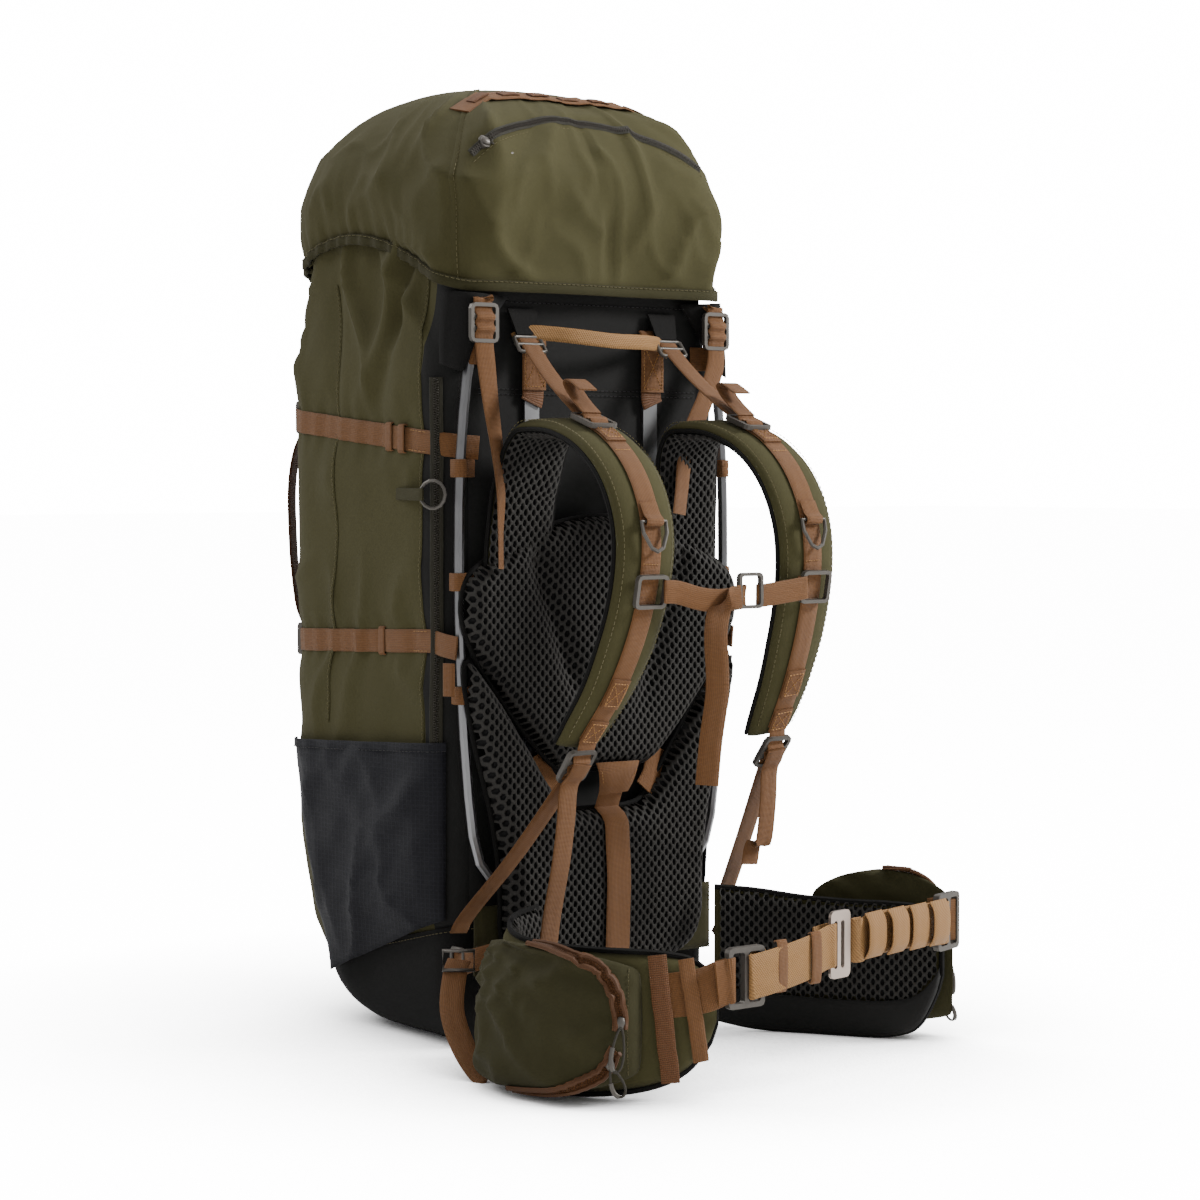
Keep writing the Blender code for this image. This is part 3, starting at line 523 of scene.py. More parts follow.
def net(name, place, low, high, body, inside=None, clamp=None, depth=0.0034, pitch=(0.0088, 0.0048),
        replaces=()):
    """Spacer mesh: a staggered lattice of cells, each with a deep oval hole whose wall and floor are painted
    near-black as painted shade.
    place(a, b) gives a point of the surface and its normal; cells whose middles are outside are left out, and their
    rims are clamped to the edge."""
    dx, dy = pitch
    a6, b6 = dx / 6, dx / 3
    outer = ((b6, 0), (a6, dy), (-a6, dy), (-b6, 0), (-a6, -dy), (a6, -dy))
    verts, faces, indices, seen = [], [], [], {}

    def vertex(a, b, sink, key=None):
        if key is not None and key in seen:
            return seen[key]
        if clamp:
            a, b = clamp(a, b)
        point, normal = place(a, b)
        verts.append(point - normal * sink)
        if key is not None:
            seen[key] = len(verts) - 1
        return len(verts) - 1

    row = 0
    b = low[1]
    while b < high[1]:
        a = low[0] + (dx / 2 if row % 2 else 0)
        while a < high[0]:
            if inside is None or inside(a, b):
                rim = [vertex(a + x, b + y, 0, (round((a + x) / 1e-5), round((b + y) / 1e-5))) for x,
                       y in outer]
                lip, hole, floor = [], [], []
                for k in range(6):
                    turn = math.tau * k / 6
                    x, y = b6 * 0.72 * math.cos(turn), dy * 0.72 * math.sin(turn)
                    lip.append(vertex(a + x * 1.12, b + y * 1.1, 0.0002))
                    hole.append(vertex(a + x * 0.94, b + y * 0.94, 0.0009))
                    floor.append(vertex(a + x * 0.85, b + y * 0.85, depth))
                for k in range(6):
                    n = (k + 1) % 6
                    faces.append((rim[k], rim[n], lip[n], lip[k]))
                    faces.append((lip[k], lip[n], hole[n], hole[k]))
                    faces.append((hole[k], hole[n], floor[n], floor[k]))
                    # the deep wall of each hole takes the painted shade, and so does its floor below
                    indices += [0, 0, 1]
                faces.append(tuple(floor))
                indices.append(1)
            a += dx
        b += dy
        row += 1
    return build(name, verts, faces, [NET, HOLE_SHADE], body, indices=indices, replaces=replaces)


class Outline:
    """A flat outline: distance to its edge, inside or not, and the nearest point on it."""

    def __init__(self, loop, cell=0.002):
        self.starts = np.array(loop, float)
        self.steps = np.roll(self.starts, -1, 0) - self.starts
        self.sizes = np.maximum((self.steps ** 2).sum(1), 1e-12)
        self.low = self.starts.min(0) - 3 * cell
        high = self.starts.max(0) + 3 * cell
        self.cell = cell
        nx, nz = (int(v) + 2 for v in (high - self.low) / cell)
        x, z = np.meshgrid(self.low[0] + cell * np.arange(nx), self.low[1] + cell * np.arange(nz),
                           indexing="ij")
        points = np.stack([x, z], -1)[:, :, None, :]
        t = np.clip(((points - self.starts) * self.steps).sum(-1) / self.sizes, 0, 1)
        far = np.sqrt((((self.starts + self.steps * t[..., None]) - points) ** 2).sum(-1)).min(-1)
        ends = self.starts + self.steps
        crossing = ((self.starts[:, 1] > z[..., None]) != (ends[:, 1] > z[..., None])) & (
            x[..., None] < self.steps[:, 0] * (z[..., None] - self.starts[:, 1])
            / np.where(np.abs(self.steps[:, 1]) < 1e-12, 1e-12, self.steps[:, 1]) + self.starts[:, 0])
        self.field = (np.where(crossing.sum(-1) % 2, far, -far)).tolist()
        self.last = (nx - 2, nz - 2)

    def depth(self, x, z):
        """Distance in from the edge, negative outside."""
        i, j = (x - self.low[0]) / self.cell, (z - self.low[1]) / self.cell
        k, m = min(self.last[0], max(0, int(i))), min(self.last[1], max(0, int(j)))
        u, v = i - k, j - m
        f = self.field
        return (f[k][m] * (1 - u) + f[k + 1][m] * u) * (1 - v) + (f[k][m + 1] * (1 - u) + f[k + 1][m
            + 1] * u) * v

    def near(self, x, z):
        p = np.array((x, z))
        t = np.clip(((p - self.starts) * self.steps).sum(1) / self.sizes, 0, 1)
        spots = self.starts + self.steps * t[:, None]
        return tuple(spots[int(((spots - p) ** 2).sum(1).argmin())])


# ---------------------------------------------------------------- the bag's surface
GUSSET_EDGE = 0.1745        # the dark gusset ends here, measured round the wall
BAG_HALF_WIDTH, BAG_BACK, BAG_FRONT, BAG_TOP = 0.160, -0.125, 0.160, 0.745
BACK_RADIUS, FRONT_RADIUS = 0.026, 0.075
BASE_SIDE_RADIUS, BASE_BACK_RADIUS, BASE_FRONT_RISE, BASE_FRONT_INSET = 0.045, 0.022, 0.200, 0.105
SEAM_BACK, SEAM_SLOPE, LOWER_TAPER, NECK_IN = 0.114, -0.24, 0.009, 0.0135
FRACTIONS = 129


def quarter_inset(height, rise, inset):
    if height >= rise:
        return 0.0
    share = (rise - height) / rise
    return inset * (1 - math.sqrt(max(0.0, 1 - share * share)))


def half_outline(z, arc=10):
    waist = 0.004 * math.sin(math.pi * min(1, max(0, z / BAG_TOP)))
    taper = LOWER_TAPER * max(0.0, 1 - z / 0.45)
    half = BAG_HALF_WIDTH - 0.004 + waist - taper - quarter_inset(z, BASE_SIDE_RADIUS, BASE_SIDE_RADIUS)
    back = BAG_BACK + quarter_inset(z, BASE_BACK_RADIUS, BASE_BACK_RADIUS)
    front = BAG_FRONT - quarter_inset(z, BASE_FRONT_RISE, BASE_FRONT_INSET)
    neck = min(1.0, max(0.0, (z - 0.60) / 0.08))
    half -= NECK_IN * neck * neck * (3 - 2 * neck)
    front -= 0.03 * max(0.0, (z - 0.62) / (BAG_TOP - 0.62)) ** 2
    rb, rf = BACK_RADIUS, min(FRONT_RADIUS, 0.45 * (front - back))
    points = [(0, back)]
    for k in range(arc + 1):
        turn = math.radians(-90 + 90 * k / arc)
        points.append((half - rb + rb * math.cos(turn), back + rb + rb * math.sin(turn)))
    for k in range(arc + 1):
        turn = math.radians(90 * k / arc)
        points.append((half - rf + rf * math.cos(turn), front - rf + rf * math.sin(turn)))
    return [*points, (0, front)]


def resample(points, count):
    pts = np.array(points, float)
    steps = np.r_[0, np.cumsum(np.hypot(*np.diff(pts, axis=0).T))]
    want = np.linspace(0, steps[-1], count)
    return np.stack([np.interp(want, steps, pts[:, 0]), np.interp(want, steps, pts[:, 1])], 1), steps[-1]


class Wall:
    """The bag's wall: a point for a side, a share of the half outline and a height."""

    def __init__(self, outline, heights):
        self.heights = np.array(heights)
        made = [resample(outline(z), FRACTIONS) for z in heights]
        self.grid = np.array([m[0] for m in made])
        self.length = np.array([m[1] for m in made])

    def flat(self, share, z):
        i = np.interp(z, self.heights, np.arange(len(self.heights)))
        i0 = int(min(i, len(self.heights) - 2))
        j = share * (FRACTIONS - 1)
        j0 = int(min(max(j, 0), FRACTIONS - 2))
        ti, tj = i - i0, j - j0
        g = self.grid
        return (g[i0, j0] * (1 - ti) * (1 - tj) + g[i0 + 1, j0] * ti * (1 - tj) + g[i0, j0 + 1] * (1 - ti) * tj
                + g[i0 + 1, j0 + 1] * ti * tj)

    def around(self, z):
        return float(np.interp(z, self.heights, self.length))

    def normal(self, side, share, z):
        e = 0.01
        a, b = self.flat(max(0, share - e), z), self.flat(min(1, share + e), z)
        low, high = self.flat(share, max(self.heights[0], z - e)), self.flat(share,
                              min(self.heights[-1], z + e))
        along = Vector((side * (b[0] - a[0]), b[1] - a[1], 0))
        rise = Vector((side * (high[0] - low[0]), high[1] - low[1], min(self.heights[-1],
            z + e) - max(self.heights[0], z - e)))
        normal = along.cross(rise) * side
        return normal.normalized()


STRAP_LEVELS = ((0.569, 0.027), (0.357, -0.010))


def strap_height(level, distance):
    top, drop = STRAP_LEVELS[level]
    return top - drop * (0.43 - distance) / 0.27


def bag_swell(side, share, z, length):
    """How far the cloth stands out: it is cinched at the straps, folded near the top and a little uneven."""
    s = share * length
    on_side = min(1, max(0, (s - 0.15) / 0.04)) * min(1, max(0, (0.52 - s) / 0.06))
    cinch = 0.0
    for level in (0, 1):
        gap = (z - strap_height(level, s)) / 0.020
        cinch += math.exp(-gap * gap)
    swell = 0.0035 * on_side * (1 - 1.7 * min(1, cinch))
    top = min(1.0, max(0.0, (z - 0.565) / 0.09))
    folds = noise.noise(Vector((s * 22 + side * 9, z * 2.6, 2.0)))
    swell += on_side * top * (0.010 * folds + 0.010 * crease(s * 15 + z * 2 + side, z * 4.5 - s * 5, 3.0,
        3.6) - 0.004)
    pleat = (s - 0.222 - 0.35 * (0.70 - z)) / 0.011
    swell += on_side * top * (0.0075 * math.exp(-pleat * pleat) - 0.009 * math.exp(-(pleat + 1.7) ** 2))
    swell += on_side * 0.0026 * wrinkle(s + side * 3, z * 0.7, 4.0)
    swell += on_side * 0.0048 * crease(s * 9 + z * 6, z * 5 - s * 8 + side, 14.0) * min(1, abs(z - 0.46) / 0.05)
    swell += on_side * min(1, cinch * 1.2) * 0.0012 * math.sin(s * 260 + 2 * side)
    if s > 0.5:
        swell += 0.002 * wrinkle(s, z, 9.0) * min(1, (s - 0.5) / 0.04)
    return swell


BAG = Wall(half_outline,
           [0, 0.003, 0.008, 0.015, 0.025, 0.035, 0.045, 0.06, 0.08, 0.1, 0.12, 0.14, 0.16, 0.18, 0.2, 0.25,
               0.3, 0.35, 0.4, 0.45, 0.5, 0.55, 0.6, 0.62, 0.64, 0.66, 0.68, 0.7, 0.72, 0.745])


def bag_point(side, share, z, lift=0.0, soft=1.0):
    x, y = BAG.flat(share, z)
    normal = BAG.normal(side, share, z)
    swell = bag_swell(side, share, z, BAG.around(z)) * soft if soft else 0.0
    return Vector((side * x, y, z)) + normal * (swell + lift)


def bag_at(side, distance, z, lift=0.0):
    return bag_point(side, distance / BAG.around(z), z, lift)


def seam_z(share):
    z = 0.08
    for _ in range(4):
        z = SEAM_BACK + SEAM_SLOPE * (BAG.flat(share, z)[1] - BAG_BACK)
    return z


def hoop_shares(count):
    """(side, share) round the whole outline."""
    shares = [i / count for i in range(count + 1)]
    return [(-1, s) for s in shares] + [(1, s) for s in shares[-2:0:-1]]


def make_bag():
    around = hoop_shares(108)
    rows = 110
    verts, faces = [], []
    count = len(around)
    for j in range(rows + 1):
        v = j / rows
        for side, share in around:
            low = seam_z(share)
            top = BAG_TOP - 0.012 * abs(BAG.flat(share, 0.7)[1] - 0.01) / 0.15
            z = low + (top - low) * v
            tuck = -0.0012 * math.exp(-(v * 70) ** 2)
            verts.append(bag_point(side, share, z, tuck, min(1, v * 14)))
    for j in range(rows):
        for k in range(count):
            n = (k + 1) % count
            faces.append((j * count + k, j * count + n, (j + 1) * count + n, (j + 1) * count + k))
    dark = []
    for j in range(rows):
        for k in range(count):
            share = (around[k][1] + around[(k + 1) % count][1]) / 2
            dark.append(int(share * BAG.around(0.3) < GUSSET_EDGE))
    bag = build("bag_cloth", verts, faces, [OLIVE, CHARCOAL], "pack", indices=dark, replaces=("main_bag",))
    recalc(bag)
    hem = bag.modifiers.new("cloth_thickness", "SOLIDIFY")
    hem.thickness = 0.0016
    hem.offset = -1
    return bag


def make_base():
    around = hoop_shares(84)
    count = len(around)
    levels = [1, 0.93, 0.82, 0.7, 0.58, 0.46, 0.36, 0.27, 0.19, 0.12, 0.07, 0.03, 0.008, 0]
    verts, faces = [], []
    for j, level in enumerate(levels):
        for side, share in around:
            z = max(0.0006, seam_z(share) * level)
            s = share * BAG.around(z)
            soft = 0.0010 * wrinkle(s + side * 2, z, 21.0) * min(1, (1 - level) * 8)
            lip = 0.0013 * math.exp(-((1 - level) * 9) ** 2)
            verts.append(bag_point(side, share, z, soft + lip, 0.0))
    for shrink in (0.85, 0.5, 0.02):
        for side, share in around:
            x, y = BAG.flat(share, 0.0)
            verts.append(Vector((side * x * shrink, (y + 0.02) * shrink - 0.02, 0.0005)))
    total = len(levels) + 3
    for j in range(total - 1):
        for k in range(count):
            n = (k + 1) % count
            faces.append((j * count + k, j * count + n, (j + 1) * count + n, (j + 1) * count + k))
    faces.append(tuple((total - 1) * count + k for k in range(count)))
    return recalc(build("base_boot_cloth", verts, faces, BLACK, "pack", replaces=("base_boot",)))


def bag_seams():
    """Felled seams and their stitching on the bag."""
    rows = Stitches()
    for side, word in SIDES:
        for index, (distance, low, high, bend) in enumerate(((0.1775, 0.118, 0.700, 0.0),
                    (0.322, 0.285, 0.69, 0.010))):
            heights = np.linspace(low, high, 60)
            shares = [(distance + bend * math.sin(9 * z)) / BAG.around(z) for z in heights]
            route = [bag_point(side, s, z, 0.0005) for s, z in zip(shares, heights)]
            normals = [BAG.normal(side, s, z) for s, z in zip(shares, heights)]
            across = [n.cross(UP) for n in normals]
            ribbon(f"bag_seam_{index}_{word}", route, across, 0.0034, 0.0009, OLIVE, "pack", raw=True)
            for shift in (0.0004,):
                rows.row([p + a * shift + n * 0.0008 for p, a, n in zip(route, across, normals)], normals)
    edge, normals = [], []
    for side, share in hoop_shares(120):
        z = seam_z(share) - 0.004
        edge.append(bag_point(side, share, z, 0.0018, 0.0))
        normals.append(BAG.normal(side, share, z))
    rows.row(edge[8:-8], normals[8:-8])
    return rows.done("bag_stitching", THREAD, "pack")


def make_side_pockets():
    for side, word in SIDES:
        columns, levels = 40, 34
        verts, faces = [], []
        top_route, tops = [], []
        for j in range(levels + 1):
            v = j / levels
            for i in range(columns + 1):
                u = i / columns
                foot = SEAM_BACK + 0.004 - 0.066 * u
                hem = 0.277 - 0.012 * u
                z = foot + (hem - foot) * v
                s = 0.152 + (0.173 + 0.072 * v) * u
                bulge = 0.0105 * min(1, 4.5 * v) * min(1, 8 * u, 8 * (1 - u)) * (1 - 0.45 * v)
                droop = wrinkle(s * 0.8 + side, z * 2.6 + u * 0.5, 31.0, 1.0, 0.5) * 0.0026
                crease = 0.0020 * noise.noise(Vector((u * 3 + v * 5, v * 14 - u * 4, 5.0 + side)))
                free = min(1, 9 * u, 9 * (1 - u)) * min(1, 6 * v)
                point = bag_point(side, s / BAG.around(z), z, 0.0030 + bulge + (droop + crease) * free)
                verts.append(point)
                if j == levels:
                    top_route.append(point)
                    tops.append(BAG.normal(side, s / BAG.around(z), z))
        for j in range(levels):
            for i in range(columns):
                a = j * (columns + 1) + i
                faces.append((a, a + 1, a + columns + 2, a + columns + 1))
        pocket = build(f"side_pocket_cloth_{word}", verts, faces, RIPSTOP, "pack",
                       replaces=(f"side_pocket_{word}",))
        recalc(pocket)
        skin = pocket.modifiers.new("cloth_thickness", "SOLIDIFY")
        skin.thickness = 0.0012
        skin.offset = 0
        route = [p - UP * 0.004 + n * 0.0009 for p, n in zip(top_route, tops)]
        ribbon(f"side_pocket_hem_{word}", route, UP, 0.0085, 0.0014, RIPSTOP, "pack", raw=True)
        rows = Stitches()
        rows.row([p - UP * 0.0075 + n * 0.0018 for p, n in zip(top_route, tops)], tops)
        rows.done(f"side_pocket_stitching_{word}", THREAD_DARK, "pack")


def bag_strap(name, side, level, z_shift=0.0):
    """A compression strap that lies on the cloth and ends free beyond the back corner."""
    distances = np.linspace(0.168, 0.43, 44)
    route, sides = [], []
    for d in distances:
        z = strap_height(level, d) + z_shift
        normal = BAG.normal(side, d / BAG.around(z), z)
        route.append(bag_at(side, d, z, 0.0024))
        sides.append((UP - normal * normal.z).normalized())
    first = route[0]
    reach = 0.047 if level == 0 else 0.040
    tail = [first + Vector((side * 0.0016 * math.sin(k * 0.5), -reach * (1 - k / 8), -0.0006 * (8 - k)))
            for k in range(8)]
    if level == 0:
        tail = [p + Vector((-side * 0.030 * (1 - k / 8) ** 1.5, 0.014 * (1 - k / 8) ** 1.2, 0)) for k,
                p in enumerate(tail)]
    lean = Vector((0, 0, 1))
    return ribbon(name, tail + route, [lean] * len(tail) + sides, WEB, 0.0017, BROWN, "pack", raw=True,
                  replaces=(name.replace("_webbing", ""),))


def make_compression():
    rows = Stitches()
    for side, word in SIDES:
        for level, words in ((0, "upper"), (1, "lower")):
            bag_strap(f"compression_{words}_{word}_webbing", side, level)
            node = f"compression_buckle_{words}_{word}"
            low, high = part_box(node)
            centre = (low + high) / 2
            for index, d in enumerate((0.205, 0.225) if level == 0 else (0.245,)):
                z = strap_height(level, d)
                normal = BAG.normal(side, d / BAG.around(z), z)
                middle = bag_at(side, d, z, 0.0040)
                along = normal.cross(UP).normalized()
                loop = [middle + UP * 0.0125 - normal * 0.004, middle + UP * 0.0118,
                        middle + UP * 0.006 + normal * 0.0004, middle - UP * 0.006 + normal * 0.0004,
                        middle - UP * 0.0118, middle - UP * 0.0125 - normal * 0.004]
                ribbon(f"keeper_{words}_{index}_{word}", loop, along, 0.010, 0.0016, BROWN, "pack", span=3)
            start = bag_at(side, 0.425, strap_height(level, 0.425), 0.0040)
            end = bag_at(side, 0.500, strap_height(level, 0.43), 0.0015)
            inner = (BAG.normal(side, 0.72, 0.4) * 0.001)
            bar = centre
            for index, (a, b) in enumerate(((start, bar), (bar, end))):
                route = [a, a.lerp(b, 0.5) + inner, b + BAG.normal(side, 0.76, 0.4) * 0.0035]
                ribbon(f"buckle_web_{words}_{index}_{word}", route, UP, 0.0195, 0.0016, BROWN, "pack", span=3)
            for edge in (-1, 1):
                points = [bag_at(side, d, strap_height(level, d) + edge * 0.0088,
                    0.0034) for d in np.linspace(0.172, 0.198, 8)]
                rows.row(points, BAG.normal(side, 0.34, 0.5))
    return rows.done("compression_stitching", THREAD_TAN, "pack")


# ---------------------------------------------------------------- front of the bag
def make_front():
    """A tall pocket with two upright zips, and the webbing that runs down both sides of it."""
    y0 = BAG_FRONT
    columns, levels = 26, 44
    half, low, high = 0.078, 0.214, 0.616
    verts, faces = [], []
    for j in range(levels + 1):
        v = j / levels
        for i in range(columns + 1):
            u = -1 + 2 * i / columns
            edge = min(1, 9 * (1 - abs(u))) * min(1, 12 * v, 12 * (1 - v))
            puff = math.sqrt(max(0, 1 - (1 - edge) ** 2))
            z = low + (high - low) * v
            crease = 0.0016 * wrinkle(u * 0.08, z, 41.0)
            verts.append(Vector((u * half * (1 - 0.05 * (2 * v - 1) ** 4),
                y0 + 0.0010 + (0.0125 + crease) * puff, z)))
    for j in range(levels):
        for i in range(columns):
            a = j * (columns + 1) + i
            faces.append((a, a + 1, a + columns + 2, a + columns + 1))
    pocket = recalc(build("front_pocket_cloth", verts, faces, OLIVE, "pack", replaces=("front_pocket",)))
    tree = tree_of(pocket)
    rows = Stitches()
    for x in (-0.058, 0.058):
        route = [cast(tree, (x, 0.3, z), (0, -1, 0), 0.0008) for z in np.linspace(0.240, 0.592, 50)]
        zip_line(f"front_zip_{'left' if x > 0 else 'right'}", route, (0, 1, 0), ZIP_TAPE, "pack")
        for shift in (-0.0075, 0.0075):
            rows.row([p + ACROSS * shift for p in route], Vector((0, 1, 0)))
    outline = [(-half, low), (half, low), (half, high), (-half, high)]
    piping = []
    for (ax, az), (bx, bz) in zip(outline, outline[1:] + outline[:1]):
        for k in range(16):
            x, z = ax + (bx - ax) * k / 16, az + (bz - az) * k / 16
            piping.append(Vector((x * 0.99, y0 + 0.0018, z)))
    rod("front_pocket_piping", piping, 0.0018, OLIVE_DARK, "pack", closed=True)
    rows.done("front_stitching", THREAD, "pack")
    for side, word in SIDES:
        points = []
        for z in np.linspace(0.350, 0.575, 14):
            bow = 0.012 * math.sin(math.pi * (z - 0.350) / 0.225)
            points.append(bag_at(side, 0.436, z, 0.0035 + bow))
        ribbon(f"front_web_{word}", points, ACROSS.lerp(Vector((0, -side, 0)), 0.4), 0.018, 0.0016, BROWN_DARK,
               "pack", span=2)
        low_web = [bag_at(side, 0.445, z, 0.0024) for z in np.linspace(0.09, 0.345, 14)]
        ribbon(f"front_web_low_{word}", low_web, ACROSS.lerp(Vector((0, -side, 0)), 0.4), 0.018, 0.0015,
               BROWN_DARK, "pack", span=2)
    return pocket


def zip_line(name, route, out, material, body, width=0.0115):
    """A coil zip: its tape, and two rows of coil along the middle."""
    out = Vector(out).normalized()
    side = []
    for i in range(len(route)):
        tangent = (route[min(i + 1, len(route) - 1)] - route[max(i - 1, 0)]).normalized()
        side.append(tangent.cross(out).normalized())
    ribbon(name + "_tape", route, side, width, 0.0009, material, body, raw=True)
    spaced = even(route, 0.0011)
    verts, faces = [], []
    for i in range(1, len(spaced) - 1):
        tangent = (spaced[i + 1] - spaced[i - 1]).normalized()
        across = tangent.cross(out).normalized()
        shift = 0.0009 if i % 2 else -0.0009
        middle = spaced[i] + across * shift + out * 0.0007
        a, t, o = across * 0.0014, tangent * 0.00042, out * 0.0009
        base = len(verts)
        verts += [middle - a - t, middle + a - t, middle + a + t, middle - a + t, middle - a * 0.6 + o,
                  middle + a * 0.6 + o]
        faces += [(base, base + 1, base + 5, base + 4), (base + 2, base + 3, base + 4, base + 5),
                  (base + 1, base + 2, base + 5), (base + 3, base, base + 4)]
    build(name + "_coil", verts, faces, ZIP_BROWN if material is ZIP_BROWN else BUCKLE, body,
          smooth_shade=False)


# ---------------------------------------------------------------- lid
LID_HALF_WIDTH, LID_BACK, LID_FRONT, LID_CROWN = 0.154, -0.148, 0.159, 0.872
LID_BACK_RADIUS, LID_FRONT_RADIUS = 0.042, 0.074
LID_HEM = 0.677
LID_CAVITY_TOP = 0.800


def lid_outline(z, arc=12):
    rise = max(0.0, z - 0.745) / (LID_CROWN - 0.745)
    shrink = math.sqrt(max(0.0, 1 - rise ** 2.4))
    half = 0.035 + (LID_HALF_WIDTH - 0.035) * shrink
    middle = 0.030
    back = middle + (LID_BACK - middle) * (0.22 + 0.78 * shrink)
    front = middle - 0.01 + (LID_FRONT - middle + 0.01) * (0.22 + 0.78 * shrink)
    rb, rf = LID_BACK_RADIUS, LID_FRONT_RADIUS
    if rise > 0:
        rb = rb + (0.05 - rb) * rise * rise
    rb, rf = min(rb, 0.45 * (front - back), 0.9 * half), min(rf, 0.45 * (front - back), 0.9 * half)
    points = [(0, back)]
    for k in range(arc + 1):
        turn = math.radians(-90 + 90 * k / arc)
        points.append((half - rb + rb * math.cos(turn), back + rb + rb * math.sin(turn)))
    for k in range(arc + 1):
        turn = math.radians(90 * k / arc)
        points.append((half - rf + rf * math.cos(turn), front - rf + rf * math.sin(turn)))
    return [*points, (0, front)]


LID = Wall(lid_outline,
           [0.66, 0.745, 0.755, 0.765, 0.775, 0.785, 0.795, 0.805, 0.815, 0.825, 0.834, 0.842, 0.849, 0.855,
               0.860, 0.864, 0.867, 0.869, 0.8705, 0.8715, 0.872])


def lid_hem(share):
    y = LID.flat(share, 0.70)[1]
    t = min(1, max(0, (y + 0.14) / 0.30))
    return LID_HEM + 0.050 * math.sin(math.pi * min(1, t * 0.86)) ** 1.3


def lid_swell(side, share, z):
    """Gathers along the elastic hem, a fuller side, and soft diagonal folds on the face."""
    s = share * LID.around(0.70)
    above = z - lid_hem(share)
    elastic = min(1, max(0, (s - 0.175) / 0.03))
    fade = math.exp(-above / 0.026)
    phase = s * 330 + 3.0 * noise.noise(Vector((s * 14, 1.0, side * 3.0)))
    gather = 0.0042 * math.sin(phase) * (0.6 + 0.5 * noise.noise(Vector((s * 40, 8.0, side)))) * fade * elastic
    tuck = -0.0075 * math.exp(-above / 0.016) * elastic
    belly = 0.006 * math.exp(-((above - 0.055) / 0.035) ** 2) * elastic
    soft = 0.0042 * wrinkle(s + side, z * 0.9, 51.0, 1.0, 0.35) * min(1, above / 0.03)
    drawn = min(1, max(0, (0.19 - abs(s - 0.155)) / 0.12)) * min(1, above / 0.02)
    soft += 0.0085 * crease(s * 9 - z * 8 + side * 4, z * 7 + s * 6, 55.0, 3.4) * drawn
    soft += 0.0028 * crease(s * 15 + z * 11, z * 9 - s * 13, 57.0 + side, 3.6) * min(1, above / 0.02)
    soft -= 0.0035 * math.exp(-((s - 0.155) / 0.006) ** 2)
    run = (s * 0.72 + (z - 0.68) * 0.69) * 17
    folds = 0.0046 * noise.noise(Vector((run, (s * 0.69 - z * 0.72) * 5, 60.0 + side)))
    calm = min(1, max(0, (LID_CROWN - z) / 0.05))
    return gather + tuck + belly + (soft + folds) * calm


def lid_point(side, share, z, lift=0.0, soft=1.0):
    x, y = LID.flat(share, z)
    swell = lid_swell(side, share, z) * soft if soft else 0.0
    return Vector((side * x, y, z)) + LID.normal(side, share, z) * (swell + lift)


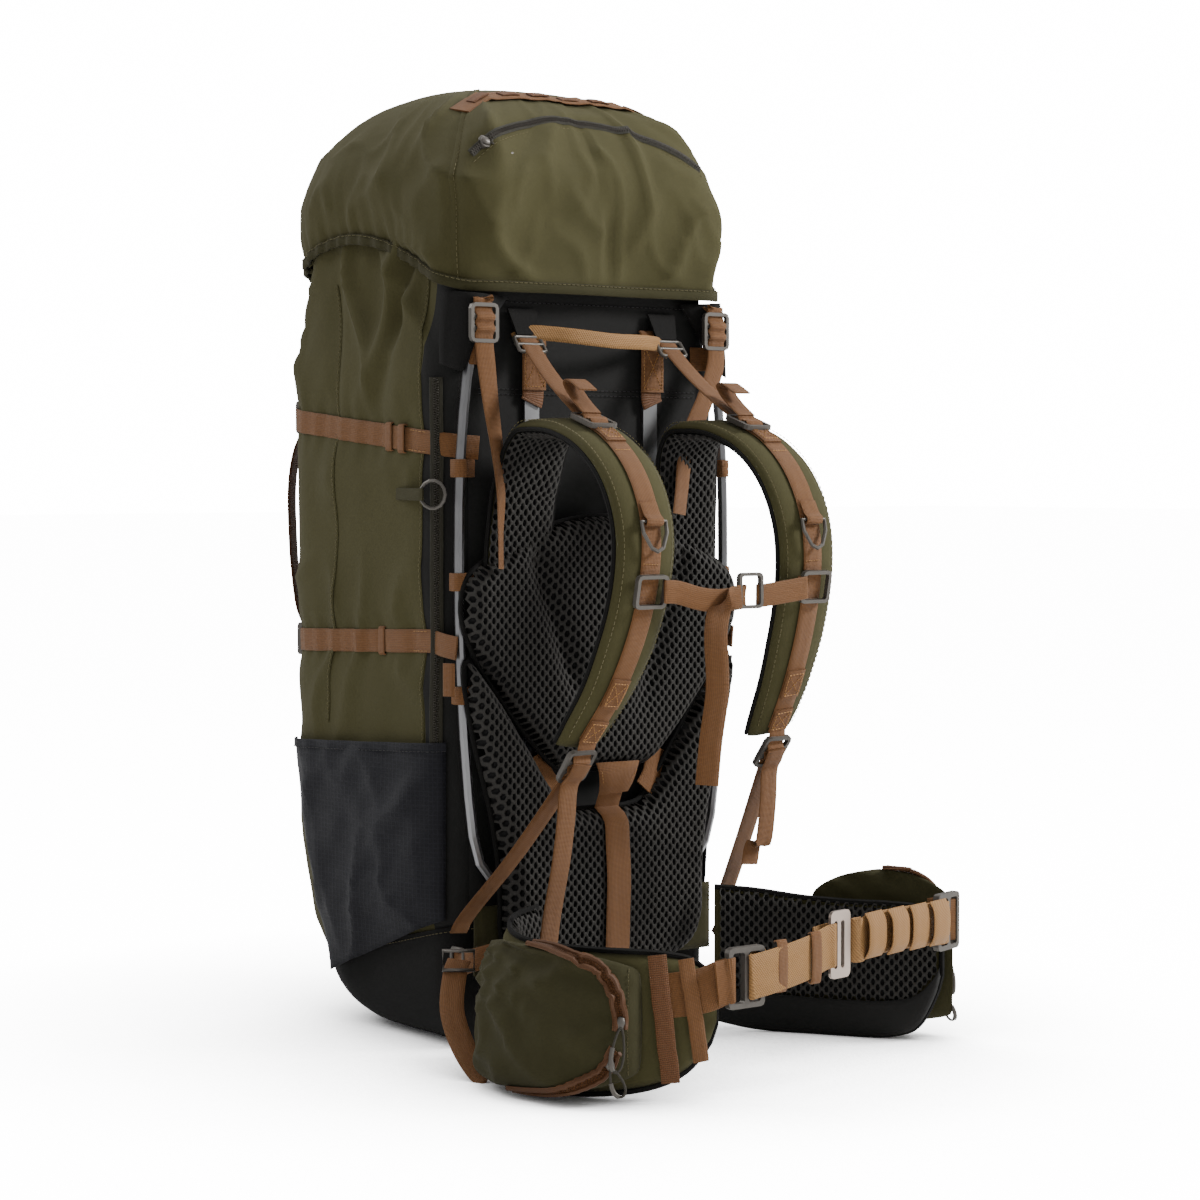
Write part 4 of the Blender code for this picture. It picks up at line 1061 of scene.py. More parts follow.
def make_lid():
    around = hoop_shares(110)
    count = len(around)
    rows = 60
    verts, faces = [], []
    for j in range(rows + 1):
        v = (j / rows) ** 0.92
        v = 1 - (1 - v) ** 1.35
        for side, share in around:
            hem = lid_hem(share)
            verts.append(lid_point(side, share, hem + (LID_CROWN - hem) * v))
    centre = len(verts)
    verts.append(Vector((0, 0.027, LID_CROWN + 0.0006)))
    for j in range(rows):
        for k in range(count):
            n = (k + 1) % count
            faces.append((j * count + k, j * count + n, (j + 1) * count + n, (j + 1) * count + k))
    for k in range(count):
        faces.append((rows * count + k, rows * count + (k + 1) % count, centre))
    hood = recalc(build("lid_cloth", verts, faces, OLIVE, "lid", replaces=("lid_hood",)))
    lining = []
    for level in (0.0, 0.15, 0.4, 0.7, 0.92, 1.0):
        ring = []
        for side, share in around:
            hem = lid_hem(share) + 0.002
            z = hem + (LID_CAVITY_TOP - 0.004 - hem) * level
            inset = -0.0028 - 0.006 * level ** 3
            ring.append(lid_point(side, share, z, inset, 0.55 if level < 0.5 else 0.2))
        lining.append(ring)
    ceiling = lining[-1]
    middle = Vector((0, 0.01, LID_CAVITY_TOP - 0.002))
    for shrink in (0.75, 0.4, 0.03):
        lining.append([Vector((middle.x + (p.x - middle.x) * shrink, middle.y + (p.y - middle.y) * shrink,
                               p.z + 0.0015 * wrinkle(p.x * shrink, p.y * shrink, 71.0))) for p in ceiling])
    skin = ring_loft("lid_lining", lining, CHARCOAL, "lid", caps=False)
    skin.data.flip_normals()
    hem_route = [lid_point(side, share, lid_hem(share) + 0.0035, 0.0036, 0.75) for side, share in around]
    normals = [LID.normal(side, share, lid_hem(share) + 0.004) for side, share in around]
    binding = []
    for p, n in zip(hem_route, normals):
        binding.append([p + n * a + UP * b for a, b in ((0, -0.0052), (0.0012, -0.0046), (0.0014, 0),
                       (0.0011, 0.0042), (0, 0.0048), (-0.0022, 0.0040), (-0.0026, -0.0040))])
    verts, faces = [p for r in binding for p in r], []
    size = 7
    for j in range(count):
        n = (j + 1) % count
        for k in range(size):
            m = (k + 1) % size
            faces.append((j * size + k, j * size + m, n * size + m, n * size + k))
    recalc(build("lid_hem_binding", verts, faces, OLIVE_DARK, "lid"))
    rows_of = Stitches()
    top_edge = [p + UP * 0.0034 + n * 0.0016 for p, n in zip(hem_route, normals)]
    rows_of.row(top_edge + top_edge[:1], normals + normals[:1])
    for side, word in SIDES:
        share = 0.155 / LID.around(0.70)
        heights = np.linspace(lid_hem(share) + 0.006, LID_CROWN - 0.0035, 60)
        route = [lid_point(side, share, z, 0.0006) for z in heights]
        normal = [LID.normal(side, share, z) for z in heights]
        across = []
        for i in range(len(route)):
            tangent = (route[min(i + 1, len(route) - 1)] - route[max(i - 1, 0)]).normalized()
            across.append(tangent.cross(normal[i]).normalized())
        ribbon(f"lid_seam_{word}", route, across, 0.006, 0.0010, OLIVE, "lid", raw=True)
        rows_of.row([p + a * 0.0020 + n * 0.0008 for p, a, n in zip(route, across, normal)], normal)
    rows_of.done("lid_stitching", THREAD, "lid")
    tree = tree_of(hood)
    centre, up_way = Vector((-0.006, -0.226, 0.642)), Vector((0, 0.47, 0.88)).normalized()
    out = ACROSS.cross(up_way)
    arc = []
    for degrees in np.linspace(-36, 36, 73):
        t = math.radians(degrees)
        point = centre + 0.220 * (math.cos(t) * up_way + math.sin(t) * ACROSS)
        found = cast(tree, point + out * 0.08, -out, 0.0010)
        if found:
            arc.append(found)
    zip_line("lid_zip", arc, out, ZIP_TAPE, "lid", 0.0085)
    garage = Stitches()
    garage.row([p - up_way * 0.0085 for p in arc], out)
    garage.done("lid_zip_stitching", THREAD, "lid")
    web = []
    for x in np.linspace(-0.112, 0.112, 40):
        y = -0.078 - 0.5 * x * x
        found = cast(tree, (x, y, 1.2), (0, 0, -1), 0.0014)
        if found:
            web.append(found)
    ribbon("lid_daisy_webbing", web, (0, 1, 0.35), 0.024, 0.0016, BROWN, "lid", raw=True)
    for index in range(6):
        i = int(4 + index * (len(web) - 9) / 5)
        base = web[i]
        along = (web[min(i + 1, len(web) - 1)] - web[max(0, i - 1)]).normalized()
        normal = along.cross(Vector((0, 1, 0.1))).normalized()
        if normal.z < 0:
            normal = -normal
        loop = [base - along * 0.010 + normal * 0.0012, base - along * 0.004 + normal * 0.0018,
                base + along * 0.004 + normal * 0.0018, base + along * 0.010 + normal * 0.0012]
        ribbon(f"lid_daisy_loop_{index}", loop, (0, 1, 0.35), 0.0105, 0.0014, BROWN_DARK, "lid", span=3)
    return hood, arc, out


# ---------------------------------------------------------------- pads
def pad_outline(half):
    return half + [(-x, z) for x, z in reversed(half) if x > 0]


def rounded(points, per_span=5):
    """A closed smooth loop through 2-D points."""
    count = len(points)
    made = []
    for i in range(count):
        a, b, c, d = (np.array(points[(i + k) % count], float) for k in (-1, 0, 1, 2))
        for k in range(per_span):
            t = k / per_span
            made.append(tuple(0.5 * (2 * b + (c - a) * t + (2 * a - 5 * b + 4 * c - d) * t * t
                                     + (3 * b - a - 3 * c + d) * t ** 3)))
    return made


def flat_pad(name, loop, face_y, thick, relief, replaces, edge=0.016):
    """A foam pad behind spacer mesh, standing out of a flat back, with a piped edge."""
    outline = Outline(loop)

    def front(x, z):
        share = min(1, max(0, outline.depth(x, z) / edge))
        return face_y - thick * math.sqrt(max(0, 1 - (1 - share) ** 2)) - relief(x, z) * share

    def place(x, z):
        e = 0.003
        y = front(x, z)
        gx, gz = (front(x + e, z) - front(x - e, z)) / (2 * e), (front(x, z + e) - front(x, z - e)) / (2 * e)
        gx, gz = max(-1.5, min(1.5, gx)), max(-1.5, min(1.5, gz))
        return Vector((x, y, z)), Vector((gx, -1, gz)).normalized()

    def inside(x, z):
        return outline.depth(x, z) > 0

    def clamp(x, z):
        return (x, z) if outline.depth(x, z) > 0.0003 else outline.near(x, z)

    xs, zs = [p[0] for p in loop], [p[1] for p in loop]
    piece = net(name, place, (min(xs), min(zs)), (max(xs), max(zs)), "pack", inside, clamp, replaces=replaces)
    rod(name + "_piping", [Vector((x, face_y - 0.0018, z)) for x, z in loop], 0.0024, BLACK, "pack",
        closed=True)
    return front


def make_pads():
    shield = [(0.0, 0.477), (0.05, 0.471), (0.10, 0.452), (0.137, 0.434), (0.152, 0.416), (0.154, 0.385),
              (0.135, 0.345), (0.10, 0.300), (0.065, 0.262), (0.045, 0.250), (0.0, 0.247)]

    def shield_relief(x, z):
        centre = 0.004 * math.exp(-(x / 0.045) ** 2) * min(1, (0.48 - z) / 0.1)
        valley = -0.010 * math.exp(-((abs(x) - 0.078 + 0.35 * (0.43 - z)) / 0.012) ** 2) * min(1, max(0,
                                   (z - 0.29) / 0.05))
        return centre + valley + 0.0016 * wrinkle(x, z, 81.0)

    front = flat_pad("back_pad_mesh", rounded(pad_outline(shield), 4), -0.1438, 0.0225, shield_relief,
                     ("back_pad",))
    cradle = [(0.0, 0.212), (0.040, 0.214), (0.060, 0.232), (0.085, 0.268), (0.118, 0.315), (0.140, 0.342),
              (0.150, 0.350), (0.151, 0.325), (0.139, 0.27), (0.122, 0.21), (0.113, 0.15), (0.111, 0.10),
              (0.085, 0.070), (0.0, 0.062)]

    def cradle_relief(x, z):
        return 0.003 * math.exp(-((z - 0.14) / 0.05) ** 2) + 0.0016 * wrinkle(x, z, 91.0)

    low = flat_pad("lumbar_pad_mesh", rounded(pad_outline(cradle), 3), -0.1438, 0.0230, cradle_relief,
                   ("lumbar_pad",))
    return front, low


# ---------------------------------------------------------------- back panel, frame and upper harness
def make_back():
    half, low, high = 0.133, 0.126, 0.722
    columns, levels = 36, 60
    verts, faces = [], []
    for j in range(levels + 1):
        for i in range(columns + 1):
            u, v = -1 + 2 * i / columns, j / levels
            x, z = half * u, low + (high - low) * v
            edge = min(1, 10 * (1 - abs(u)), 26 * v, 26 * (1 - v))
            soft = 0.0011 * wrinkle(x, z, 101.0) * edge
            verts.append(Vector((x, -0.1262 - 0.0036 * math.sqrt(max(0, 1 - (1 - edge) ** 2)) - soft * 0.6, z)))
    for j in range(levels):
        for i in range(columns):
            a = j * (columns + 1) + i
            faces.append((a, a + 1, a + columns + 2, a + columns + 1))
    recalc(build("back_panel_cloth", verts, faces, CHARCOAL, "pack", replaces=("back_panel",)))
    rows = Stitches()
    for z in (0.668, 0.5905, 0.586):
        rows.row([Vector((x, -0.1308, z)) for x in np.linspace(-0.125, 0.125, 40)], OUT)
    rows.done("back_panel_stitching", THREAD_DARK, "pack")
    core_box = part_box("belt_core")
    hw, cz = 0.136, 0.100
    verts, faces = [], []
    for j in range(13):
        for i in range(31):
            u, v = -1 + i / 15, j / 12
            edge = min(1, 12 * (1 - abs(u)), 5 * v, 5 * (1 - v))
            verts.append(Vector((hw * u, core_box[0].y + 0.0035 - 0.0035 * math.sqrt(max(0,
                1 - (1 - edge) ** 2)), cz - 0.031 + 0.062 * v)))
    for j in range(12):
        for i in range(30):
            a = j * 31 + i
            faces.append((a, a + 1, a + 32, a + 31))
    core = recalc(build("belt_core_cloth", verts, faces, OLIVE_DARK, "pack", replaces=("belt_core",)))
    skin = core.modifiers.new("cloth_thickness", "SOLIDIFY")
    skin.thickness = 0.004
    skin.offset = -1
    ticks = Stitches()
    for x in (0.117, 0.1235, 0.130):
        ticks.row([Vector((x, core_box[0].y - 0.0006, z)) for z in (0.108, 0.124)], OUT, length=0.0035,
                  gap=0.001)
    ticks.done("belt_core_ticks", THREAD, "pack")


def box_stitch(rows, centre, across, along, normal, width, length):
    """The sewn rectangle with a cross in it that holds a webbing end."""
    a, b = across * width / 2, along * length / 2
    corners = [centre - a - b, centre + a - b, centre + a + b, centre - a + b, centre - a - b]
    rows.row(corners, normal, length=0.0024, gap=0.0010)
    rows.row([corners[0], corners[2]], normal, length=0.0024, gap=0.0010)
    rows.row([corners[1], corners[3]], normal, length=0.0024, gap=0.0010)


def make_upper():
    rows = Stitches()
    for side, word in SIDES:
        x = side * 0.068
        sleeve = [(x, -0.1330, 0.646), (x, -0.1368, 0.640), (x, -0.1372, 0.615), (x, -0.1370, 0.590)]
        ribbon(f"stay_sleeve_{word}", sleeve, ACROSS, 0.0265, 0.0022, BROWN, "pack", span=4)
        under = [(x, -0.1350, 0.605), (x, -0.1352, 0.585), (x + side * 0.002, -0.1356, 0.578)]
        ribbon(f"stay_tab_{word}", under, ACROSS, 0.0235, 0.0016, BROWN_DARK, "pack", span=3)
        box_stitch(rows, Vector((x, -0.1384, 0.613)), ACROSS, UP, OUT, 0.021, 0.040)
        for index, z in enumerate((0.622, 0.520, 0.420, 0.320)):
            cx = side * np.interp(z, [0.32, 0.44, 0.53, 0.60, 0.627], [0.1495, 0.152, 0.150, 0.143, 0.136])
            loop = [(cx - side * 0.020, -0.1318, z), (cx - side * 0.0085, -0.1350, z),
                    (cx - side * 0.004, -0.1438, z), (cx + side * 0.002, -0.1448, z),
                    (cx + side * 0.0062, -0.1400, z), (cx + side * 0.0055, -0.1320, z)]
            ribbon(f"tube_loop_{index}_{word}", loop, UP, 0.016 if index else 0.022, 0.0013, BROWN, "pack",
                   span=3)
        gusset = [[(side * 0.155, -0.118, 0.676), (side * 0.140, -0.147, 0.674),
                  (side * 0.098, -0.1395, 0.672)], [(side * 0.158, -0.119, 0.655),
                  (side * 0.142, -0.1485, 0.650), (side * 0.112, -0.1385, 0.655)],
                  [(side * 0.160, -0.120, 0.632), (side * 0.1475, -0.1470, 0.626),
                  (side * 0.127, -0.1375, 0.636)], [(side * 0.160, -0.121, 0.612),
                  (side * 0.152, -0.1435, 0.605), (side * 0.140, -0.1380, 0.612)]]
        verts = []
        fine = [smooth([Vector(p) for p in line], 5) for line in gusset]
        columns = [smooth([line[k] for line in fine], 4) for k in range(len(fine[0]))]
        high = len(columns[0])
        for column in columns:
            verts += column
        faces = [(k * high + j, k * high + j + 1, (k + 1) * high + j + 1, (k + 1) * high + j)
                 for k in range(len(columns) - 1) for j in range(high - 1)]
        cover = recalc(build(f"corner_gusset_{word}", verts, faces, BLACK, "pack"))
        skin = cover.modifiers.new("cloth_thickness", "SOLIDIFY")
        skin.thickness = 0.0012
    rows.done("sleeve_stitching", THREAD_TAN, "pack")
    handle = [(-0.088, -0.1345, 0.634), (-0.076, -0.1400, 0.6405), (-0.058, -0.1490, 0.6400),
              (-0.035, -0.1610, 0.6375), (0, -0.1665, 0.6345), (0.035, -0.1610, 0.6345),
              (0.058, -0.1500, 0.6345), (0.076, -0.1400, 0.6330), (0.088, -0.1345, 0.628)]
    ribbon("grab_handle_webbing", handle, UP, 0.0135, 0.0030, TAN, "handle", replaces=("grab_handle",))


def ladder_route(centre, along, normal, before, after):
    """A route for webbing through a ladder buckle: under it, over both bars, and out."""
    c, t, n = Vector(centre), Vector(along).normalized(), Vector(normal).normalized()
    return [*before, c + t * 0.0215 - n * 0.0016, c + t * 0.0105 - n * 0.0006, c + t * 0.0052 + n * 0.0040,
            c + n * 0.0008, c - t * 0.0052 + n * 0.0040, c - t * 0.0105 + n * 0.0002,
            c - t * 0.0205 + n * 0.0010, *after]


def make_lid_straps():
    for side, word in SIDES:
        centre = Vector((side * 0.133, -0.1505, 0.6475))
        if side < 0:
            after = [(-0.1325, -0.1545, 0.605), (-0.130, -0.158, 0.570), (-0.127, -0.162, 0.535),
                     (-0.126, -0.166, 0.500), (-0.130, -0.171, 0.465), (-0.131, -0.173, 0.432)]
        else:
            after = [(0.128, -0.1545, 0.610), (0.112, -0.158, 0.580), (0.094, -0.163, 0.555),
                     (0.082, -0.167, 0.528), (0.076, -0.170, 0.500), (0.073, -0.170, 0.478)]
        before = [(side * 0.131, -0.1440, 0.671), (side * 0.132, -0.1475, 0.668)]
        points = ladder_route(centre, (0, 0, 1), OUT, before, after)
        total = (len(points) - 1) * 4 + 1
        turn = [min(1, max(0, (i / total - 0.62) / 0.3)) * (1.0 if side < 0 else 0.35) for i in range(total)]
        sides = [ACROSS.lerp(Vector((0.72, 0.70, 0)), t).normalized() for t in turn]
        ribbon(f"lid_strap_{word}", points, sides, STRAP_WIDE, STRAP_SHEET, BROWN, "pack", span=4)


# ---------------------------------------------------------------- shoulder straps
STRAP_LINE = [(0.0960, -0.1480, 0.430), (0.0955, -0.1490, 0.452), (0.0945, -0.1506, 0.471),
              (0.094, -0.1525, 0.487), (0.093, -0.1540, 0.499), (0.0905, -0.1570, 0.513),
              (0.088, -0.163, 0.536), (0.0865, -0.1755, 0.5520), (0.0862, -0.1915, 0.5555),
              (0.0875, -0.230, 0.553), (0.0885, -0.270, 0.538), (0.089, -0.302, 0.510), (0.090, -0.320, 0.472),
              (0.092, -0.3215, 0.430), (0.095, -0.310, 0.384), (0.100, -0.289, 0.338), (0.106, -0.266, 0.303),
              (0.110, -0.250, 0.282)]
STRAP_THICK = 0.016


class Band:
    """A padded band's middle line with a frame at each distance along it."""

    def __init__(self, points, step=0.0025):
        self.route = even(smooth(points, 10), step)
        self.made = frames(self.route, ACROSS)
        self.step = sum((b - a).length for a, b in zip(self.route, self.route[1:])) / (len(self.route) - 1)
        self.length = self.step * (len(self.route) - 1)

    def at(self, distance):
        i = max(0.0, min(len(self.route) - 1.001, distance / self.step))
        k, t = int(i), i - int(i)
        (p, a, o), (q, b, r) = self.made[k], self.made[k + 1]
        return p.lerp(q, t), a.lerp(b, t).normalized(), o.lerp(r, t).normalized()


def strap_width(share):
    """The band is widest near its root and narrows to its lower end."""
    return float(np.interp(share, [0, 0.1, 0.3, 0.55, 0.8, 0.96, 1.0], [0.070, 0.069, 0.066, 0.064, 0.060,
        0.050, 0.044]))


def make_shoulder(side, word):
    body = f"shoulder_{word}"
    band = Band([Vector((side * x, y, z)) for x, y, z in STRAP_LINE])
    _, _, probe = band.at(band.length * 0.6)
    sign = 1 if probe.y < 0 else -1

    def point(a, s, depth):
        """a across, s along, and depth out of the middle towards the outer face."""
        p, across, out = band.at(s)
        return p + across * a + out * (sign * depth)

    rings = []
    stations = np.linspace(0, band.length, 96)
    for s in stations:
        w, t = strap_width(s / band.length) / 2, STRAP_THICK / 2
        pinch = min(1, 0.35 + s / 0.012, 0.35 + (band.length - s) / 0.012)
        t *= pinch
        ring = []
        for k in range(11):
            c = -1 + 0.2 * k
            ring.append(point(w * c, s, t * (0.18 + 0.87 * (1 - c ** 4)) + 0.0007 * wrinkle(s, c * 0.03,
                111.0)))
        for k in range(9):
            c = 0.95 - 0.2375 * k
            ring.append(point(w * c, s, -(t - 0.0046) * (1 - 0.8 * c ** 6)))
        rings.append(ring)
    cover = ring_loft(f"shoulder_cover_{word}", rings, OLIVE,
                      replaces=(f"shoulder_pad_{word}", f"shoulder_riser_{word}"))

    def place(a, s):
        w, t = strap_width(s / band.length) / 2, STRAP_THICK / 2
        c = max(-1, min(1, a / w))
        _, across, out = band.at(s)
        roll = 0.9 * c ** 3
        normal = (out * -sign * (1 - abs(roll) * 0.5) + across * roll).normalized()
        return point(a, s, -t * (1.04 - 0.62 * c ** 6) - 0.0007), normal

    def inside(a, s):
        return abs(a) < strap_width(s / band.length) / 2 - 0.001 and 0.004 < s < band.length - 0.002

    def clamp(a, s):
        s = max(0.002, min(band.length - 0.001, s))
        w = strap_width(s / band.length) / 2 - 0.0006
        return max(-w, min(w, a)), s

    lattice = net(f"shoulder_mesh_{word}", place, (-0.036, 0.004), (0.037, band.length), None, inside, clamp)
    pieces = [cover, lattice]
    for edge in (-1, 1):
        line = [point(edge * (strap_width(s / band.length) / 2 + 0.0002), s,
            -0.0016) for s in np.linspace(0.002, band.length - 0.001, 110)]
        pieces.append(rod(f"shoulder_piping_{'in' if edge * side < 0 else 'out'}_{word}", line, 0.0021, BLACK,
            sides=6))
    rows = Stitches()
    for edge in (-1, 1):
        line, normals = [], []
        for s in np.linspace(0.05, band.length - 0.012, 130):
            line.append(point(edge * (strap_width(s / band.length) / 2 - 0.0048), s, STRAP_THICK / 2 * 0.80))
            normals.append(band.at(s)[2] * sign)
        rows.row(line, normals)
    stitching = rows.done(f"shoulder_stitching_{word}", THREAD, None)
    pieces.append(stitching)
    for piece in pieces:
        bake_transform(piece)
    return band, sign, point, body


def finish_shoulder(side, word, band, sign, point, body):
    """Webbing down the middle of the strap, through the buckles, with its sewn ends."""
    rows = Stitches()
    lifter = (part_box(f"lifter_buckle_{word}")[0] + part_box(f"lifter_buckle_{word}")[1]) / 2
    lower = (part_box(f"lower_buckle_{word}")[0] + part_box(f"lower_buckle_{word}")[1]) / 2
    s_lift = min(np.linspace(0, band.length, 400), key=lambda s: (band.at(s)[0] - lifter).length)
    rise = STRAP_THICK / 2 + 0.0016
    line = [point(0, s, rise) for s in np.linspace(s_lift - 0.004, band.length - 0.016, 90)]
    ribbon(f"shoulder_webbing_{word}_strip", line, ACROSS, WEB, 0.0017, BROWN, body, raw=True,
           replaces=(f"shoulder_webbing_{word}",))
    folds = ((s_lift + 0.010, s_lift + 0.034), (band.length - 0.078, band.length - 0.050),
             (band.length - 0.036, band.length - 0.012))
    for index, (a, b) in enumerate(folds):
        patch = [point(0, s, rise + 0.0019) for s in np.linspace(a, b, 10)]
        ribbon(f"shoulder_fold_{index}_{word}", patch, ACROSS, WEB - 0.0006, 0.0017, BROWN, body, raw=True)
        middle = point(0, (a + b) / 2, rise + 0.0030)
        _, across, out = band.at((a + b) / 2)
        along = (patch[-1] - patch[0]).normalized()
        box_stitch(rows, middle, across, along, out * sign, 0.0155, (b - a) * 0.8)
    for share in (0.47, 0.66):
        s = band.length * share
        _, across, out = band.at(s)
        base = point(0, s, rise + 0.0012)
        rows.row([base - across * 0.009, base + across * 0.009], out * sign, length=0.0022, gap=0.0006)
    rows.done(f"shoulder_webbing_stitching_{word}", THREAD_TAN, body)
    near = band.at(s_lift)
    tangent = (band.at(s_lift + 0.01)[0] - band.at(s_lift - 0.01)[0]).normalized()
    out = near[2] * sign
    anchor = [lifter + tangent * 0.016 - out * 0.0030, lifter + tangent * 0.0105 - out * 0.0004,
              lifter + tangent * 0.0062 + out * 0.0036, lifter + tangent * 0.003 - out * 0.0002,
              lifter + tangent * 0.012 - out * 0.0052]
    ribbon(f"lifter_anchor_{word}", anchor, ACROSS, WEB - 0.002, 0.0015, BROWN, body, span=3)
    end_tangent = (band.at(band.length)[0] - band.at(band.length - 0.02)[0]).normalized()
    end_out = band.at(band.length)[2] * sign
    hang = [point(0, band.length - 0.016, rise), lower - end_tangent * 0.0175 - end_out * 0.0010,
            lower - end_tangent * 0.0105 - end_out * 0.0004, lower - end_tangent * 0.0055 + end_out * 0.0036,
            lower - end_tangent * 0.002 - end_out * 0.0004]
    ribbon(f"lower_anchor_{word}", hang, ACROSS, WEB - 0.002, 0.0015, BROWN, body, span=3)
    return lifter, tangent, out, lower, end_tangent, end_out


def make_lifters(side, word, lifter, tangent, out, body):
    """The load lifter, from its tri-glide at the top of the frame to the buckle, with its free end folded back."""
    top = Vector((side * 0.080, -0.1395, 0.640))
    glide = Vector((side * 0.081, -0.1480, 0.630))
    entry = lifter - tangent * 0.0205 + out * 0.0018
    points = [top, glide + Vector((0, -0.004, -0.004)), glide.lerp(entry, 0.45) + Vector((0, 0, -0.004)), entry,
              lifter - tangent * 0.0105 + out * 0.0006, lifter - tangent * 0.0052 + out * 0.0040,
                  lifter + out * 0.0010,
              lifter + tangent * 0.0030 + out * 0.0036]
    strap = ribbon(f"load_lifter_{word}_strap", points, ACROSS, STRAP_WIDE, STRAP_SHEET, BROWN,
                   replaces=(f"load_lifter_{word}",))
    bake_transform(strap)
    tail = [lifter - tangent * 0.004 + out * 0.0052, lifter - tangent * 0.020 + out * 0.010,
            lifter - tangent * 0.034 + out * 0.016, lifter - tangent * 0.041 + out * 0.022,
            lifter - tangent * 0.034 + out * 0.0255, lifter - tangent * 0.016 + out * 0.0225]
    ribbon(f"load_lifter_{word}_tail", tail, ACROSS, STRAP_WIDE, STRAP_SHEET, BROWN, body, span=5)
    slot = [(-0.0145, -0.0085), (0.0145, -0.0085), (0.0145, 0.0085), (-0.0145, 0.0085)]
    down = Vector((0, -0.62, -0.78)).normalized()
    corners = [glide + ACROSS * a + down * b for a, b in slot]
    rod(f"lifter_glide_{word}",
        [p.lerp(q, t) for p, q in zip(corners, corners[1:] + corners[:1]) for t in (0.08, 0.5, 0.92)], 0.0018,
        BUCKLE, "pack", closed=True, sides=8)
    rod(f"lifter_glide_bar_{word}", [glide - ACROSS * 0.0145, glide + ACROSS * 0.0145], 0.0016, BUCKLE, "pack")
    gusset = [top + Vector((-0.016, 0.004, 0.022)), top + Vector((0.016, 0.004, 0.022)),
              top + Vector((0.0115, -0.004, -0.001)), top + Vector((-0.0115, -0.004, -0.001))]
    cover = recalc(build(f"lifter_gusset_{word}", gusset, [(0, 1, 2, 3)], BLACK, "pack", smooth_shade=False))
    skin = cover.modifiers.new("cloth_thickness", "SOLIDIFY")
    skin.thickness = 0.002


def make_lower_straps(side, word, lower, tangent, out, body):
    """The webbing that pulls the strap down to the pack's lower corner, and its free end."""
    end = Vector((side * 0.150, -0.150, 0.128))
    leave = lower + tangent * 0.0215 + out * 0.0006
    middle = leave.lerp(end, 0.5) + Vector((0, 0.002, -0.006))
    points = [lower - tangent * 0.0030 + out * 0.0036, lower + out * 0.0006,
              lower + tangent * 0.0052 + out * 0.0036, lower + tangent * 0.0105, leave, middle, end,
              end + Vector((side * 0.003, 0.012, -0.018))]
    strap = ribbon(f"lower_strap_{word}_webbing", points, ACROSS, STRAP_WIDE, STRAP_SHEET, BROWN,
                   replaces=(f"lower_strap_{word}",))
    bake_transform(strap)
    drop = 0.150 if side < 0 else 0.085
    tail = [lower - tangent * 0.0060 + out * 0.0054, lower + tangent * 0.006 + out * 0.0062,
            lower + tangent * 0.020 + out * 0.0065, lower + tangent * 0.026 + Vector((0, -0.006, -0.028)),
            lower + tangent * 0.026 + Vector((-0.004, -0.004, -0.065)),
            lower + tangent * 0.026 + Vector((-0.008, 0.004, -drop * 0.75)),
            lower + tangent * 0.026 + Vector((-0.010, 0.008, -drop))]
    ribbon(f"lower_strap_{word}_tail", tail, ACROSS, STRAP_WIDE, STRAP_SHEET, BROWN, body, span=5)


def make_sternum():
    """The chest strap: webbing from both sliders to the hook, and its long free end."""
    for side, word in SIDES:
        low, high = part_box(f"sternum_slider_{word}")
        centre = (low + high) / 2
        body = f"sternum_{word}"
        inner = centre + Vector((-side * 0.0145, -0.0006, 0))
        if side < 0:
            points = [inner + Vector((0.004, 0.0024, 0)), inner + Vector((-0.002, -0.0030, 0)),
                      inner + Vector((0.012, -0.0030, -0.001)), inner + Vector((0.036, -0.004, -0.007)),
                      inner + Vector((0.058, -0.0035, -0.009)),
                      Vector((0.004, centre.y - 0.0045, centre.z - 0.007)),
                      Vector((0.0085, centre.y - 0.0025, centre.z - 0.006)),
                      Vector((0.004, centre.y - 0.0008, centre.z - 0.006))]
        else:
            points = [inner + Vector((-0.004, 0.0024, 0)), inner + Vector((0.002, -0.0030, 0)),
                      inner + Vector((-0.012, -0.0030, -0.002)), inner + Vector((-0.030, -0.0030, -0.004)),
                      Vector((0.0275, centre.y - 0.0035, centre.z - 0.006)),
                      Vector((0.0235, centre.y - 0.0015, centre.z - 0.006)),
                      Vector((0.0290, centre.y + 0.0010, centre.z - 0.006))]
        ribbon(f"sternum_strap_{word}", points, UP, STRAP_WIDE, STRAP_SHEET, BROWN, body,
               replaces=(f"sternum_webbing_{word}",))
    low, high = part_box("sternum_slider_right")
    centre = (low + high) / 2
    start = Vector((-0.012, centre.y - 0.0070, centre.z - 0.008))
    tail = [start + Vector((0.014, 0.001, 0.002)), start, start + Vector((-0.014, -0.004, -0.008)),
            start + Vector((-0.022, -0.008, -0.030)), start + Vector((-0.020, -0.008, -0.075)),
            start + Vector((-0.024, -0.004, -0.120)), start + Vector((-0.025, 0.000, -0.158))]
    sides = []
    for i in range((len(tail) - 1) * 5 + 1):
        turn = min(1, max(0, (i - 3) / 9))
        sides.append(UP.lerp(Vector((0.80, -0.55, 0.0)), turn).normalized())
    ribbon("sternum_tail", tail, sides, STRAP_WIDE, STRAP_SHEET, BROWN, "sternum_right")


